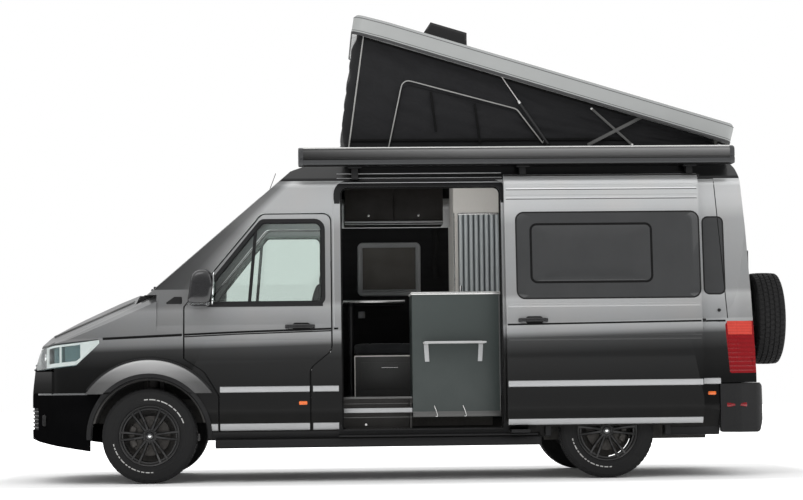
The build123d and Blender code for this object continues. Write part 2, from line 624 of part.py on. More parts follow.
def spare_wheel():
    """Tyre, rim and the tube carrier on the left rear door."""
    tyre, rim = wheel_parts(0, 1)
    place = Pos(SPARE_CENTRE_X, SPARE_Y, SPARE_Z) * Rot(0, 0, -90) * Pos(0, -TRACK / 2, -AXLE_Z)
    face = 4850
    hub_x = SPARE_CENTRE_X - 20 - SEAT
    y0, y1 = SPARE_Y - 110, SPARE_Y + 110
    carrier = block(face + 20, hub_x, SPARE_Y - 60, SPARE_Y + 60, SPARE_Z - 60, SPARE_Z + 60)
    carrier += block(face + 20, face + 50, y0, y1, SPARE_Z - 400, SPARE_Z + 560)
    foot = block(face - 60, face + 21, y0, y1, SPARE_Z - 390, SPARE_Z - 330)
    head = block(face - 130, face + 21, y0, y1, SPARE_Z + 480, SPARE_Z + 550)
    return place * tyre, place * rim, carrier + (foot + head - CABIN_OUT)


def sliding_door():
    """Sliding door, slid back beside the body, with its glass."""
    out = Pos(0, -SLIDE_DOOR_OUT, 0)
    x0, x1 = SLIDE_DOOR_X0, SLIDE_DOOR_X1
    shell = (CABIN_OUT - CABIN_IN) & along_y(rect(x0, x1, 420, 2462, 40), -1200, -400)
    shell -= along_y(rect(*DOOR_WINDOW), -1200, -400)
    shell -= rebate(rect(*DOOR_WINDOW, grow=PANE_LAP + SEAT), -1200, -400)
    shell = out * shell - cabin(-10) - block(x0 - 50, x1 + 50, -1003, -400, 300, 900)
    rail_face = BODY_HALF + 12 + SEAT
    arm = block(x0 + 60, x0 + 160, -rail_face - 60, -rail_face, RAIL_Z - 15, RAIL_Z + 15)
    return shell + arm, out * pane(rect(*DOOR_WINDOW, grow=PANE_LAP), -1200, -400)


# ---- lifting roof ------------------------------------------------------------------
def pop_closed():
    """Lifting roof in its closed place: a tray with a rim, pins for its stays and a vent dome."""
    x0, x1, z0 = POP_FRONT_X, POP_REAR_X, POP_HINGE[1]
    side = [(x0, z0, 15), (x1, z0, 15), (x1 - 10, z0 + POP_THICK, 45), (x0 - 20, z0 + POP_THICK, 35)]
    plan = [(x0 - 25, -POP_HALF + 60, 140), (x0 + 260, -POP_HALF, 500), (x1, -POP_HALF + 20, 70),
            (x1, POP_HALF - 20, 70), (x0 + 260, POP_HALF, 500), (x0 - 25, POP_HALF - 60, 140)]
    tray = along_y(side, -900, 900) & along_z(plan, 2000, 3000)
    inner_y = POP_HALF - POP_RIM
    tray -= block(x0 + 50, x1 - 70, -inner_y, inner_y, z0 - 10, z0 + POP_THICK - 75)
    dome = extrude(Plane.XY * RectangleRounded(VENT_LONG, VENT_WIDE, 60), VENT_HIGH, taper=16)
    vent = Pos(VENT_X, 0, z0 + POP_THICK - 8) * dome
    for at_y in SIDES:
        tray += drum(STRUT_EYE[0], at_y * (STRUT_Y + 5), at_y * (inner_y + 5), STRUT_EYE[1], 6)
        x, z = UPPER_BAR[0]
        tray += drum(x, at_y * (UPPER_BAR_Y[1] + SEAT), at_y * (inner_y + 5), z, 6)
    return tray + vent


def tilt(shape, degrees):
    """Turn about the lifting roof's hinge line; positive raises the front."""
    x, z = POP_HINGE
    return Pos(x, 0, z) * Rot(0, degrees, 0) * Pos(-x, 0, -z) * shape


def turned(x, z, degrees):
    """A point carried with the lifting roof."""
    a = math.radians(degrees)
    dx, dz = x - POP_HINGE[0], z - POP_HINGE[1]
    return (POP_HINGE[0] + dx * math.cos(a) + dz * math.sin(a),
            POP_HINGE[1] - dx * math.sin(a) + dz * math.cos(a))


def tent():
    """Cloth bellows between roof and lifting roof: thin walls, open below and above."""
    low, wall = ROOF_Z - 60, 6
    front = turned(POP_FRONT_X + 62, POP_HINGE[1] + 60, POP_OPEN)
    rear = turned(4610, POP_HINGE[1] + 60, POP_OPEN)
    outer = [(1615, low, 0), (*front, 0), (*rear, 0), (4620, low, 0)]
    inner = [(1615 + wall, low - 9, 0), (front[0] + wall, front[1] + 9, 0), (rear[0] - wall, rear[1] + 9, 0),
             (4620 - wall, low - 9, 0)]
    walls = along_y(outer, -TENT_HALF, TENT_HALF) - along_y(inner, -TENT_HALF + wall, TENT_HALF - wall)
    return walls - CABIN_OUT


# stays of the lifting roof: feet on the base frame, eyes on the shell in its closed place, x and z
STRUT_FOOT, STRUT_EYE, STRUT_Y = (3243, 2706), (2745, 2750), 655
BARREL_LENGTH, ROD_LENGTH = 440, 476
LOWER_BAR, LOWER_BAR_Y = ((3933, 2706), (3602, 3009)), (645, 653)     # foot and free end, as parked
UPPER_BAR = ((3985, 2732), (3564, 2706))       # pin on the closed shell, free end as parked
UPPER_BAR_Y = (660, 668)


def gas_struts():
    """Barrels and rods of the two gas struts, as parked."""
    eye = turned(*STRUT_EYE, POP_OPEN)
    dx, dz = eye[0] - STRUT_FOOT[0], eye[1] - STRUT_FOOT[1]
    length = math.hypot(dx, dz)
    barrels, rods = [], []
    for side in SIDES:
        at = lambda s: (STRUT_FOOT[0] + dx * s / length, side * STRUT_Y, STRUT_FOOT[1] + dz * s / length)
        barrels.append(rod(at(-8), at(BARREL_LENGTH), 11) - rod(at(15), at(BARREL_LENGTH + 1), 6))
        rods.append(rod(at(length - ROD_LENGTH), at(length), 5))
    return barrels, rods


def scissor_bars():
    """Lower bars on the base frame and upper bars on the shell, as parked."""
    pin = turned(*UPPER_BAR[0], POP_OPEN)
    lower = [bar(*LOWER_BAR, 18, side * LOWER_BAR_Y[0], side * LOWER_BAR_Y[1]) for side in SIDES]
    upper = [bar(pin, UPPER_BAR[1], 26, side * UPPER_BAR_Y[0], side * UPPER_BAR_Y[1]) for side in SIDES]
    return lower, upper


# ---- living room -------------------------------------------------------------------
KITCHEN = (2090, 2800, -915, -480)     # x0, x1, outer y, inner y
TRAY_Z = 1085                          # underside of the tray
TRAY_DEPTH, TRAY_THICK = 190, 15
TRAY_BRACKETS = (2200, 2640)


def kitchen_unit():
    """Kitchen block standing in the sliding door's opening."""
    x0, x1, y0, y1 = KITCHEN
    body = block(x0, x1, y0 + 20, y1, FLOOR_Z + SEAT, 1480)
    body += block(x0, x1, y0, y0 + 20.5, 500, 1480) + block(x0 - 4, x1 + 4, y0 - 4, y1 + 10, 1480, 1500)
    for x in TRAY_BRACKETS:
        body += block(x, x + 8, y0 - 12, y0, TRAY_Z - 145, TRAY_Z - SEAT)
    return body


def kitchen_tray():
    """Shelf on the kitchen's outer face that folds down over its brackets."""
    y0 = KITCHEN[2] - SEAT
    return block(2176, 2673, y0 - TRAY_DEPTH, y0, TRAY_Z, TRAY_Z + TRAY_THICK)


def living_room():
    """Furniture nodes: dinette, cupboards, washroom and bed."""
    floor = FLOOR_Z + SEAT
    room = cabin(WALL + SEAT)
    bench = block(1650, 2250, 250, 930, floor, 1010) + block(1655, 2245, 255, 920, 1009, 1120)
    bench += block(2150, 2250, 255, 900, 1119, 1480)
    table = block(1560, 2090, 300, 900, 1460, 1490) + rod((1605, 350, floor), (1605, 350, 1461), 22)
    cupboard = block(1580, 2440, 480, 900, 2150, 2500)
    wash = block(2510, 2545, 150, 980, floor, 2500) + block(3350, 3385, 150, 980, floor, 2500)
    wash += block(2510, 3385, 150, 185, 2220, 2500) + block(2540, 3355, 160, 175, floor, 2230)
    wheel_room = drum(WHEELBASE, 600, 1000, AXLE_Z, WHEEL_ARCH_RADIUS + 6)
    bed = block(3400, 4740, -980, 980, 1080, 1110) + block(3400, 4740, -960, 960, 1109, 1230)
    return (bench & room, table & room), cupboard & room, (wash & room) - wheel_room, bed & room


def dashboard():
    """Dashboard with the steering wheel on the right."""
    board = along_y([(120, 1000, 20), (330, 960, 60), (420, 1150, 60), (380, 1290, 60), (120, 1330, 20)],
                    -870, 870)
    hub = (560, 1240)
    column = rod((400, 430, 1170), (hub[0], 430, hub[1]), 40)
    rim = Pos(hub[0], 430, hub[1]) * Rot(0, 66, 0) * Torus(190, 15)
    spokes = Pos(hub[0], 430, hub[1]) * Rot(0, 66, 0) * (Box(24, 372, 14) + Box(372, 30, 14))
    wall = block(90, 121, -800, 800, 1010, 1300)
    return board + column + rim + spokes + (wall & CABIN_IN)


def front_seats():
    """Two cab seats on boxes."""
    made = []
    for side in SIDES:
        y0, y1 = side * 190, side * 690
        seat = block(800, 1200, side * 240, side * 640, FLOOR_Z + 0.3, 900)
        seat += along_y([(720, 900, 40), (1240, 900, 40), (1240, 1010, 40), (720, 1050, 40)], y0, y1)
        seat += along_y([(1180, 1000, 30), (1310, 980, 30), (1440, 1560, 40), (1340, 1580, 40)], y0, y1)
        seat += along_y([(1350, 1570, 20), (1430, 1560, 20), (1455, 1780, 30), (1380, 1790, 30)],
                        side * 310, side * 570)
        made.append(seat)
    return made


def awning():
    """Cassette awning on the left roof edge with three brackets to the roof."""
    x0, x1 = 1193, 4690
    profile = [(-1100, 2500, 40), (-1095, 2640, 40), (-960, 2660, 20), (-950, 2510, 30)]
    case = along_x(profile, x0, x1)
    for x in (1600, 2950, 4300):
        case += block(x, x + 90, -965, -BASE_RING_OUT, 2525, 2545) - CABIN_OUT
    return case


# ---- write every piece -------------------------------------------------------------
def main():
    """Build and write all sub-parts."""
    os.makedirs("parts", exist_ok=True)
    left_side, right_side = side_panels()
    write("left_side_panel", left_side)
    write("right_side_panel", right_side)
    write("roof_panel", roof_panel())
    write("front_fenders", *front_fenders())
    write("bonnet", bonnet())
    bumper, grille, lamps = nose_pieces()
    write("front_bumper", bumper)
    write("grille", grille)
    write("headlights", *lamps)
    write("tail_lights", *tail_lamps())
    write("cowl_panel", cowl_panel())
    write("windscreen", windscreen())
    write("floor_pan", floor_pan())
    write("wheel_arch_liners", *arch_liners())
    write("underbody_frame", underbody_frame())
    write("rear_axle", rear_axle())
    write("front_suspension", *front_suspension())
    rail_y = RAIL_Y - RAIL_HALF_W
    cross = block(-480, -420, -rail_y, rail_y, 565, 600)
    write("engine_block", block(-620, 20, -280, 330, 560, 1060) + cross)
    top = FLOOR_Z - FLOOR_THICK - 80
    write("fuel_tank", block(1120, 1980, -380, 150, 330, top))
    write("exhaust", block(2150, 2850, 500, 760, 400, 560) + rod((330, 530, 530), (2151, 530, 530), 30))
    write("rear_bumper", rear_bumper())
    write("dashboard", dashboard())
    write("front_seats", *front_seats())
    write("kitchen_unit", kitchen_unit())
    write("kitchen_tray", kitchen_tray())
    dinette, cupboard, wash, bed = living_room()
    write("dinette", *dinette)
    write("overhead_cupboards", cupboard)
    write("washroom_cabin", wash)
    write("rear_bed", bed)
    write("awning_case", awning())
    panes = [pane(rect(*REAR_QUARTER, grow=PANE_LAP), -1200, -500)]
    panes += [pane(rect(*window, grow=PANE_LAP), 500, 1200) for window in RIGHT_WINDOWS]
    door, door_glass = sliding_door()
    write("sliding_door", door)
    write("side_windows", *panes, door_glass)
    for side, word in ((-1, "left"), (1, "right")):
        shell, glass = cab_door(side)
        write(f"{word}_front_door", shell)
        write(f"{word}_front_door_glass", glass)
        write(f"{word}_mirror", door_mirror(side))
        shell, glass = rear_door(side)
        write(f"{word}_rear_door", shell)
        write(f"{word}_rear_door_glass", glass)
        write(f"{word}_knuckle", knuckle(side))
        for x, end in ((0, "front"), (WHEELBASE, "rear")):
            tyre, rim = wheel_parts(x, side)
            write(f"{word}_{end}_tyre", tyre)
            write(f"{word}_{end}_rim", rim)
    tyre, rim, carrier = spare_wheel()
    write("spare_tyre", tyre)
    write("spare_rim", rim)
    write("spare_wheel_carrier", carrier)
    write("pop_top_shell", tilt(pop_closed(), POP_OPEN))
    write("roof_tent", tent())
    barrels, rods = gas_struts()
    write("gas_strut_barrels", *barrels)
    write("gas_strut_rods", *rods)
    lower, upper = scissor_bars()
    write("scissor_lower_bars", *lower)
    write("scissor_upper_bars", *upper)


def rear_bumper():
    """Rear bumper with a flat step."""
    side = [(4549, 740, 10), (REAR_FACE_X + 50, 745, 40), (REAR_FACE_X + 62, 470, 60),
            (REAR_FACE_X + 20, 350, 40), (4549, 355, 20)]
    plan = [(4200, 1022, 0), (4700, 1010, 120), (REAR_FACE_X + 62, 880, 160)]
    plan = plan + [(x, -y, r) for x, y, r in reversed(plan)]
    body = along_y(side, -1100, 1100) & along_z(plan, 100, 1000)
    inner_x = REAR_FACE_X + 2
    hollow = along_z([(4100, 960, 0), (4660, 950, 80), (inner_x, 820, 100), (inner_x, -820, 100),
                      (4660, -950, 80), (4100, -960, 0)], 100, 730)
    hollow += block(4500, REAR_FACE_X - 60, -870, 870, 700, 800)
    made = body - hollow
    for side in SIDES:
        made += block(4780, inner_x + 20, side * 390, side * 470, RAIL_LOW_Z, FLOOR_Z - FLOOR_THICK)
    return made


main()
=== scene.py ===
"""Camper van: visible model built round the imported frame.

Shapes are laid out in millimetres from the front axle (x = 0 there, front at -x, left side at -y,
z up from the ground) and put into the frame's metres when a mesh is made.
"""
import math
import bmesh
import bpy
import numpy as np
from mathutils import Matrix, Vector


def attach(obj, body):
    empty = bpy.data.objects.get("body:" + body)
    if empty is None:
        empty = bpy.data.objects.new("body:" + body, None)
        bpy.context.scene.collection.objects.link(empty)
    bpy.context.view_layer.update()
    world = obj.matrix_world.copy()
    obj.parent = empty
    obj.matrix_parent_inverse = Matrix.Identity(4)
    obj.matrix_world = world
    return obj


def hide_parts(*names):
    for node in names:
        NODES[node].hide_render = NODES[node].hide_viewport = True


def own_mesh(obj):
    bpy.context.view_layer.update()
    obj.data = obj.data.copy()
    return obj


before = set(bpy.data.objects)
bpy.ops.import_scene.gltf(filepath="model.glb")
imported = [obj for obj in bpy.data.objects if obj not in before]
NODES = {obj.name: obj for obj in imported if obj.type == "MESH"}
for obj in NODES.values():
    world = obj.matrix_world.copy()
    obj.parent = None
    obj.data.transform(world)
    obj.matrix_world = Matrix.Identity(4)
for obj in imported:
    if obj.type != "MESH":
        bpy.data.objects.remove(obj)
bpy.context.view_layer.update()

AXLE_X = -2063.0                 # front axle in the frame
WHEELBASE = 3640.0
HALF_TRACK = 870.0
AXLE_Z = TYRE_RADIUS = 378.0
HINGE_X, HINGE_Z = 4700.0, 2712.0        # lifting roof's hinge line
POP_OPEN = math.radians(16.8)
SINK = 6.0                       # how far a raised band's edges lie below the surface
VAN = "van_body"                 # the body that carries every fixed piece
SIDES = ((-1, "left"), (1, "right"))


# ---- outlines and paths ------------------------------------------------------------
def join(*axes):
    """Points from one array or number for each axis."""
    return np.stack(np.broadcast_arrays(*axes), -1)


def grid(u0, u1, rows, v0, v1, columns):
    """Evenly spaced u and v as two arrays of rows by columns."""
    return np.meshgrid(np.linspace(u0, u1, rows), np.linspace(v0, v1, columns), indexing="ij")


def rounded(corners, closed=True, steps=6):
    """Straight runs joined by tangent arcs. A corner is (u, v, radius); each arc has steps + 1 points."""
    found, count = [], len(corners)
    for i, (u, v, radius) in enumerate(corners):
        p = np.array((u, v), float)
        if radius <= 0 or (not closed and i in (0, count - 1)):
            found.append(p[None])
            continue
        a = np.array(corners[i - 1][:2], float) - p
        b = np.array(corners[(i + 1) % count][:2], float) - p
        la, lb = np.linalg.norm(a), np.linalg.norm(b)
        a, b = a / la, b / lb
        half = math.acos(np.clip(a @ b, -0.99999, 0.99999)) / 2
        reach = min(radius / math.tan(half), 0.499 * la, 0.499 * lb)
        radius = reach * math.tan(half)
        centre = p + (a + b) / np.linalg.norm(a + b) * radius / math.sin(half)
        start, end = p + a * reach - centre, p + b * reach - centre
        first = math.atan2(start[1], start[0])
        turn = (math.atan2(end[1], end[0]) - first + math.pi) % (2 * math.pi) - math.pi
        t = first + turn * np.linspace(0, 1, steps + 1)
        found.append(centre + radius * join(np.cos(t), np.sin(t)))
    return np.vstack(found)


def rect(x0, x1, z0, z1, r, steps=6):
    """Rounded rectangle as an outline."""
    return rounded([(x0, z0, r), (x1, z0, r), (x1, z1, r), (x0, z1, r)], steps=steps)


def even(path, count, closed=False):
    """The same path with count points at equal distances along it."""
    path = np.asarray(path, float)
    if closed:
        path = np.vstack((path, path[:1]))
    run = np.concatenate(([0], np.cumsum(np.linalg.norm(np.diff(path, axis=0), axis=1))))
    at = np.linspace(0, run[-1], count, endpoint=not closed)
    return np.stack([np.interp(at, run, path[:, k]) for k in range(path.shape[1])], -1)


def grown(outline, by):
    """A closed outline moved outwards along its normals by a distance (an array gives one copy each)."""
    ahead, back = np.roll(outline, -1, 0), np.roll(outline, 1, 0)
    along = ahead - back
    normal = join(along[:, 1], -along[:, 0])
    normal /= np.linalg.norm(normal, axis=1)[:, None] + 1e-9
    area = np.sum(outline[:, 0] * ahead[:, 1] - ahead[:, 0] * outline[:, 1])
    normal *= 1 if area > 0 else -1
    return outline + normal * np.asarray(by)[..., None, None] if np.ndim(by) else outline + normal * by


# ---- the body's outer skin as functions ----------------------------------------------
def half_of(corners):
    """Right half of a symmetric outline as a dense run of points, in the order of their first coordinate."""
    path = rounded(corners + [(u, -v, r) for u, v, r in reversed(corners)], steps=24)
    path = path[path[:, 1] >= -1e-6]
    return path[np.argsort(path[:, 0])]


_SECTION = half_of([(335, 930, 20), (560, 1010, 120), (1130, 1020, 60), (1250, 998, 60), (2400, 905, 110),
    (2572, 640, 260), (2590, 0.01, 2000)])
_PLAN = half_of([(4898, 880, 90), (4700, 985, 200), (4300, 1020, 900), (450, 1020, 900), (-80, 1000, 0)])
_NOSE_PLAN = half_of([(60, 1006, 0), (-300, 985, 500), (-740, 925, 260), (-905, 640, 300), (-1030, 200, 900)])
_CROWN = rounded([(1100, 985, 0), (900, 1075, 90), (0, 1262, 2000), (-900, 1075, 90), (-1100, 985, 0)],
    closed=False, steps=24)
_CROWN = _CROWN[_CROWN[:, 0] >= 0]
_NOSE_TOP = rounded([(60, 1540, 0), (-75, 1530, 60), (-300, 1452, 500), (-560, 1342, 500), (-830, 1178, 160),
    (-968, 930, 200), (-1024, 680, 200), (-1024, 480, 200), (-1012, 350, 0)], closed=False, steps=16)
_TAIL = rounded([(4746, 2590, 130), (4835, 1417, 900), (4868, 831, 900), (4868, 335, 0)], closed=False,
    steps=16)
CROWN_RISE, CROWN_LIFT = 0.46, 385.0
SCREEN_SLOPE = 1 / math.tan(math.radians(40.5))
SCREEN_FOOT_X, SCREEN_FOOT_Z = -70, 1519
SCREEN_BOW, SCREEN_HALF = 105.0, 1050.0
_BOW_R = (SCREEN_HALF ** 2 + SCREEN_BOW ** 2) / (2 * SCREEN_BOW)


def read(run, at, key=0, **ends):
    """A run's one coordinate where its other, number key, has the value at."""
    order = np.argsort(run[:, key])
    return np.interp(at, run[order, key], run[order, 1 - key], **ends)


def screen_x(z, y=0.0):
    """x of the windscreen's surface: a plane leaning back, bowed to both sides on a large circle."""
    flat = SCREEN_FOOT_X + (z - SCREEN_FOOT_Z) * SCREEN_SLOPE
    return flat + _BOW_R - np.sqrt(_BOW_R ** 2 - np.asarray(y, float) ** 2)


def cabin_y(x, z):
    """Half width of the passenger body: the least of its cross-section, its plan and its bowed front."""
    ahead = np.clip(x - (SCREEN_FOOT_X + (z - SCREEN_FOOT_Z) * SCREEN_SLOPE), 0, SCREEN_BOW)
    wrap = np.sqrt(np.maximum(_BOW_R ** 2 - (_BOW_R - ahead) ** 2, 0))
    return np.minimum(np.minimum(read(_SECTION, z), read(_PLAN, x)), wrap)


def nose_y(x, z):
    """Half width of the nose: the lesser of its plan and its crowned top."""
    crown = read(_CROWN, z - CROWN_RISE * x - CROWN_LIFT, 1, left=1100, right=0)
    return np.minimum(read(_NOSE_PLAN, x), crown)


def skin_y(x, z):
    """Half width of the whole body at x and z."""
    return np.where((x < 60) & (z < 1500), nose_y(x, z), cabin_y(x, z))


def nose_z(x, y):
    """Height of the bonnet: the lesser of its side view and its crowned section."""
    return np.minimum(read(_NOSE_TOP, x), read(_CROWN, np.abs(y)) + CROWN_RISE * x + CROWN_LIFT)


def nose_x(y, z):
    """Foremost x of the nose at y and z: the hindmost of its side view and its plan."""
    return np.maximum(read(_NOSE_TOP, z, 1), read(_NOSE_PLAN, np.abs(y), 1))


def tail_x(y, z):
    """Rearmost x of the body at y and z."""
    rear = _PLAN[_PLAN[:, 0] > 4300]
    return np.minimum(read(_TAIL, z, 1), read(rear, np.abs(y), 1, left=4898))


def belt_z(x):
    """Height of the crease along the body; the black strip laid in it is painted shade."""
    return np.interp(x, (-360, 720, 1460, 4700), (1150, 1192, 1212, 1246))


# ---- shapes: each returns (points, faces) ----------------------------------------------
def lattice(rows, columns, wrap_rows=False, wrap_columns=False, start=0):
    """Quads of a grid of points, joined round where it wraps."""
    i = np.arange(rows if wrap_rows else rows - 1)
    j = np.arange(columns if wrap_columns else columns - 1)
    i, j = [a.ravel() for a in np.meshgrid(i, j, indexing="ij")]
    i2, j2 = (i + 1) % rows, (j + 1) % columns
    return (join(i * columns + j, i * columns + j2, i2 * columns + j2, i2 * columns + j) + start).tolist()


def grid_part(points, wrap_rows=False, wrap_columns=False, cap_rows=False):
    """A grid of points as a surface; cap_rows closes its first and last row with a flat face."""
    rows, columns = points.shape[:2]
    faces = lattice(rows, columns, wrap_rows, wrap_columns)
    if cap_rows:
        faces.append(list(range(columns)))
        faces.append([(rows - 1) * columns + j for j in range(columns)])
    return points.reshape(-1, 3), faces


def closed_bar(points):
    """Rows of closed outlines joined into a bar or pad with flat ends."""
    return grid_part(np.asarray(points), wrap_columns=True, cap_rows=True)


def leaf(front, back):
    """A closed plate between two grids of the same size, joined round their edges."""
    rows, columns = front.shape[:2]
    size = rows * columns
    edge = np.concatenate((np.arange(columns), np.arange(1, rows - 1) * columns + columns - 1,
        np.arange(rows * columns - 1, (rows - 1) * columns - 1, -1), np.arange(rows - 2, 0, -1) * columns))
    after = np.roll(edge, -1)
    faces = lattice(rows, columns) + lattice(rows, columns, start=size)
    faces += join(edge, after, after + size, edge + size).tolist()
    return np.vstack((front.reshape(-1, 3), back.reshape(-1, 3))), faces


def brick(low, high, round_by=3.0, steps=2):
    """Box with rounded edges: a rounded rectangle along x, drawn in at both ends on a quarter circle."""
    (x0, y0, z0), (x1, y1, z1) = np.minimum(low, high), np.maximum(low, high)
    r = min(round_by, 0.49 * (x1 - x0), 0.49 * (y1 - y0), 0.49 * (z1 - z0))
    t = np.linspace(0, math.pi / 2, steps + 1)
    inset = np.concatenate((r * (1 - np.sin(t)), r * (1 - np.sin(t[::-1]))))
    at = np.concatenate((x0 + r * (1 - np.cos(t)), x1 - r * (1 - np.cos(t[::-1]))))
    ring = rect(y0, y1, z0, z1, r, steps)
    centre = np.array(((y0 + y1) / 2, (z0 + z1) / 2))
    away = np.sign(ring - centre)
    rows = [np.column_stack((np.full(len(ring), x), ring - away * d)) for x, d in zip(at, inset)]
    return closed_bar(rows)


def sweep(path, profile, up=(0, 0, 1), closed=False):
    """A closed profile (across, up) carried along a path of points."""
    path, profile = np.asarray(path, float), np.asarray(profile, float)
    if closed:
        along = np.roll(path, -1, 0) - np.roll(path, 1, 0)
    else:
        along = np.gradient(path, axis=0)
    along /= np.linalg.norm(along, axis=1)[:, None]
    across = np.cross(along, np.asarray(up, float))
    across /= np.linalg.norm(across, axis=1)[:, None]
    over = np.cross(across, along)
    points = path[:, None] + across[:, None] * profile[None, :, :1] + over[:, None] * profile[None, :, 1:]
    return grid_part(points, wrap_rows=closed, wrap_columns=True, cap_rows=not closed)


def ring_profile(radius, count=10):
    """Circle as a profile."""
    t = np.linspace(0, 2 * math.pi, count, endpoint=False)
    return join(radius * np.cos(t), radius * np.sin(t))


def tube(path, radius, count=10, up=(0, 0, 1), closed=False):
    """Round bar along a path."""
    return sweep(path, ring_profile(radius, count), up, closed)


def lathe(profile, centre, axis="y", count=64, closed=True):
    """Profile of (distance along the axis, radius) turned about an axis through a centre."""
    t = np.linspace(0, 2 * math.pi, count, endpoint=False)
    a, r = np.asarray(profile, float).T
    c, s = np.cos(t)[:, None] * r, np.sin(t)[:, None] * r
    a = np.broadcast_to(a, c.shape)
    points = {"y": join(c, a, s), "x": join(a, c, s), "z": join(c, s, a)}[axis]
    return grid_part(points + np.asarray(centre, float), wrap_rows=True, wrap_columns=closed)


def on_side(outline, side, lift, out=0.0):
    """Points (x, z) put on the body side, moved outwards by lift."""
    x, z = outline[..., 0], outline[..., 1]
    return join(x, side * (skin_y(x, z) + lift + out), z)


def rim(outline, profile, place):
    """A closed profile (outwards, lift) round a closed outline; place puts (outline, lift) in space."""
    outline = np.asarray(outline)
    rows = [place(grown(outline, float(a)), float(b)) for a, b in profile]
    return grid_part(np.array(rows), wrap_rows=True, wrap_columns=True)


def dome(outline, place, lifts, centre=None):
    """Closed pad: an outline drawn in to its centre in rings, each ring with its own lift, on a flat back."""
    outline = np.asarray(outline)
    centre = outline.mean(0) if centre is None else np.asarray(centre, float)
    rows = [place(centre + (outline - centre) * share, lift) for share, lift in lifts]
    return closed_bar(rows)


def strip_on_side(x0, x1, low, high, side, lift, out=0.0, count=60):
    """Raised band along the body side between two heights, rounded at its edges."""
    x = np.linspace(x0, x1, count)
    share = np.array((0, 0.02, 0.1, 0.25, 0.5, 0.75, 0.9, 0.98, 1.0))
    rise = np.array((-SINK, 0.3 * lift, 0.85 * lift, lift, lift, lift, 0.85 * lift, 0.3 * lift, -SINK))
    xx, z = np.meshgrid(x, low + (high - low) * share, indexing="ij")
    half = skin_y(xx, z) + out
    return leaf(join(xx, side * (half + rise), z), join(xx, side * (half - SINK), z))


def lifted(x, z):
    """Where a place on the closed lifting roof goes when the roof is turned up about its hinge line."""
    c, s = math.cos(POP_OPEN), math.sin(POP_OPEN)
    dx, dz = x - HINGE_X, z - HINGE_Z
    return HINGE_X + dx * c + dz * s, HINGE_Z - dx * s + dz * c


def turned(part):
    """A part laid out on the closed lifting roof, turned up with it."""
    points, faces = part
    x, z = lifted(points[:, 0], points[:, 2])
    return join(x, points[:, 1], z), faces


def moved(part, by=(0, 0, 0), side=1):
    """A part, or with side -1 its mirror image across the middle plane, shifted by a distance."""
    points, faces = part
    return points * (1, side, 1) + np.asarray(by, float), faces


def beside(side, out=0.0):
    """Puts (outline, lift) on one body side."""
    return lambda outline, lift: on_side(outline, side, lift, out)


def level(outline, z):
    """Puts an outline (x, y) at one height."""
    return np.column_stack((outline, np.full(len(outline), float(z))))


# ---- pieces ------------------------------------------------------------------------------
def piece(name, parts, material, instead_of=(), body=VAN, smooth=True, bevel=0.0, subdivide=0,
        angle=35):
    """Joins parts into one object on a body: millimetres from the front axle become the frame's metres."""
    points, faces, start = [], [], 0
    for p, f in parts:
        points.append(p)
        faces += [[k + start for k in face] for face in f]
        start += len(p)
    place = (np.vstack(points) + (AXLE_X, 0, 0)) / 1000
    mesh = bpy.data.meshes.new(name)
    mesh.from_pydata(place.tolist(), [], faces)
    b = bmesh.new()
    b.from_mesh(mesh)
    bmesh.ops.remove_doubles(b, verts=b.verts, dist=2e-6)
    bmesh.ops.dissolve_degenerate(b, dist=1e-6, edges=b.edges)
    bmesh.ops.recalc_face_normals(b, faces=b.faces)
    b.to_mesh(mesh)
    b.free()
    mesh.polygons.foreach_set("use_smooth", np.full(len(mesh.polygons), smooth))
    obj = bpy.data.objects.new(name, mesh)
    bpy.context.scene.collection.objects.link(obj)
    obj.data.materials.append(material)
    if bevel:
        cut = obj.modifiers.new("edges", "BEVEL")
        cut.width, cut.segments = bevel / 1000, 2
        cut.limit_method, cut.angle_limit = "ANGLE", math.radians(30)
    if subdivide:
        sub = obj.modifiers.new("fine", "SUBSURF")
        sub.levels = sub.render_levels = subdivide
    if smooth and angle:
        mesh.set_sharp_from_angle(angle=math.radians(angle))
    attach(obj, body)
    if instead_of:
        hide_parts(*instead_of)
    return obj


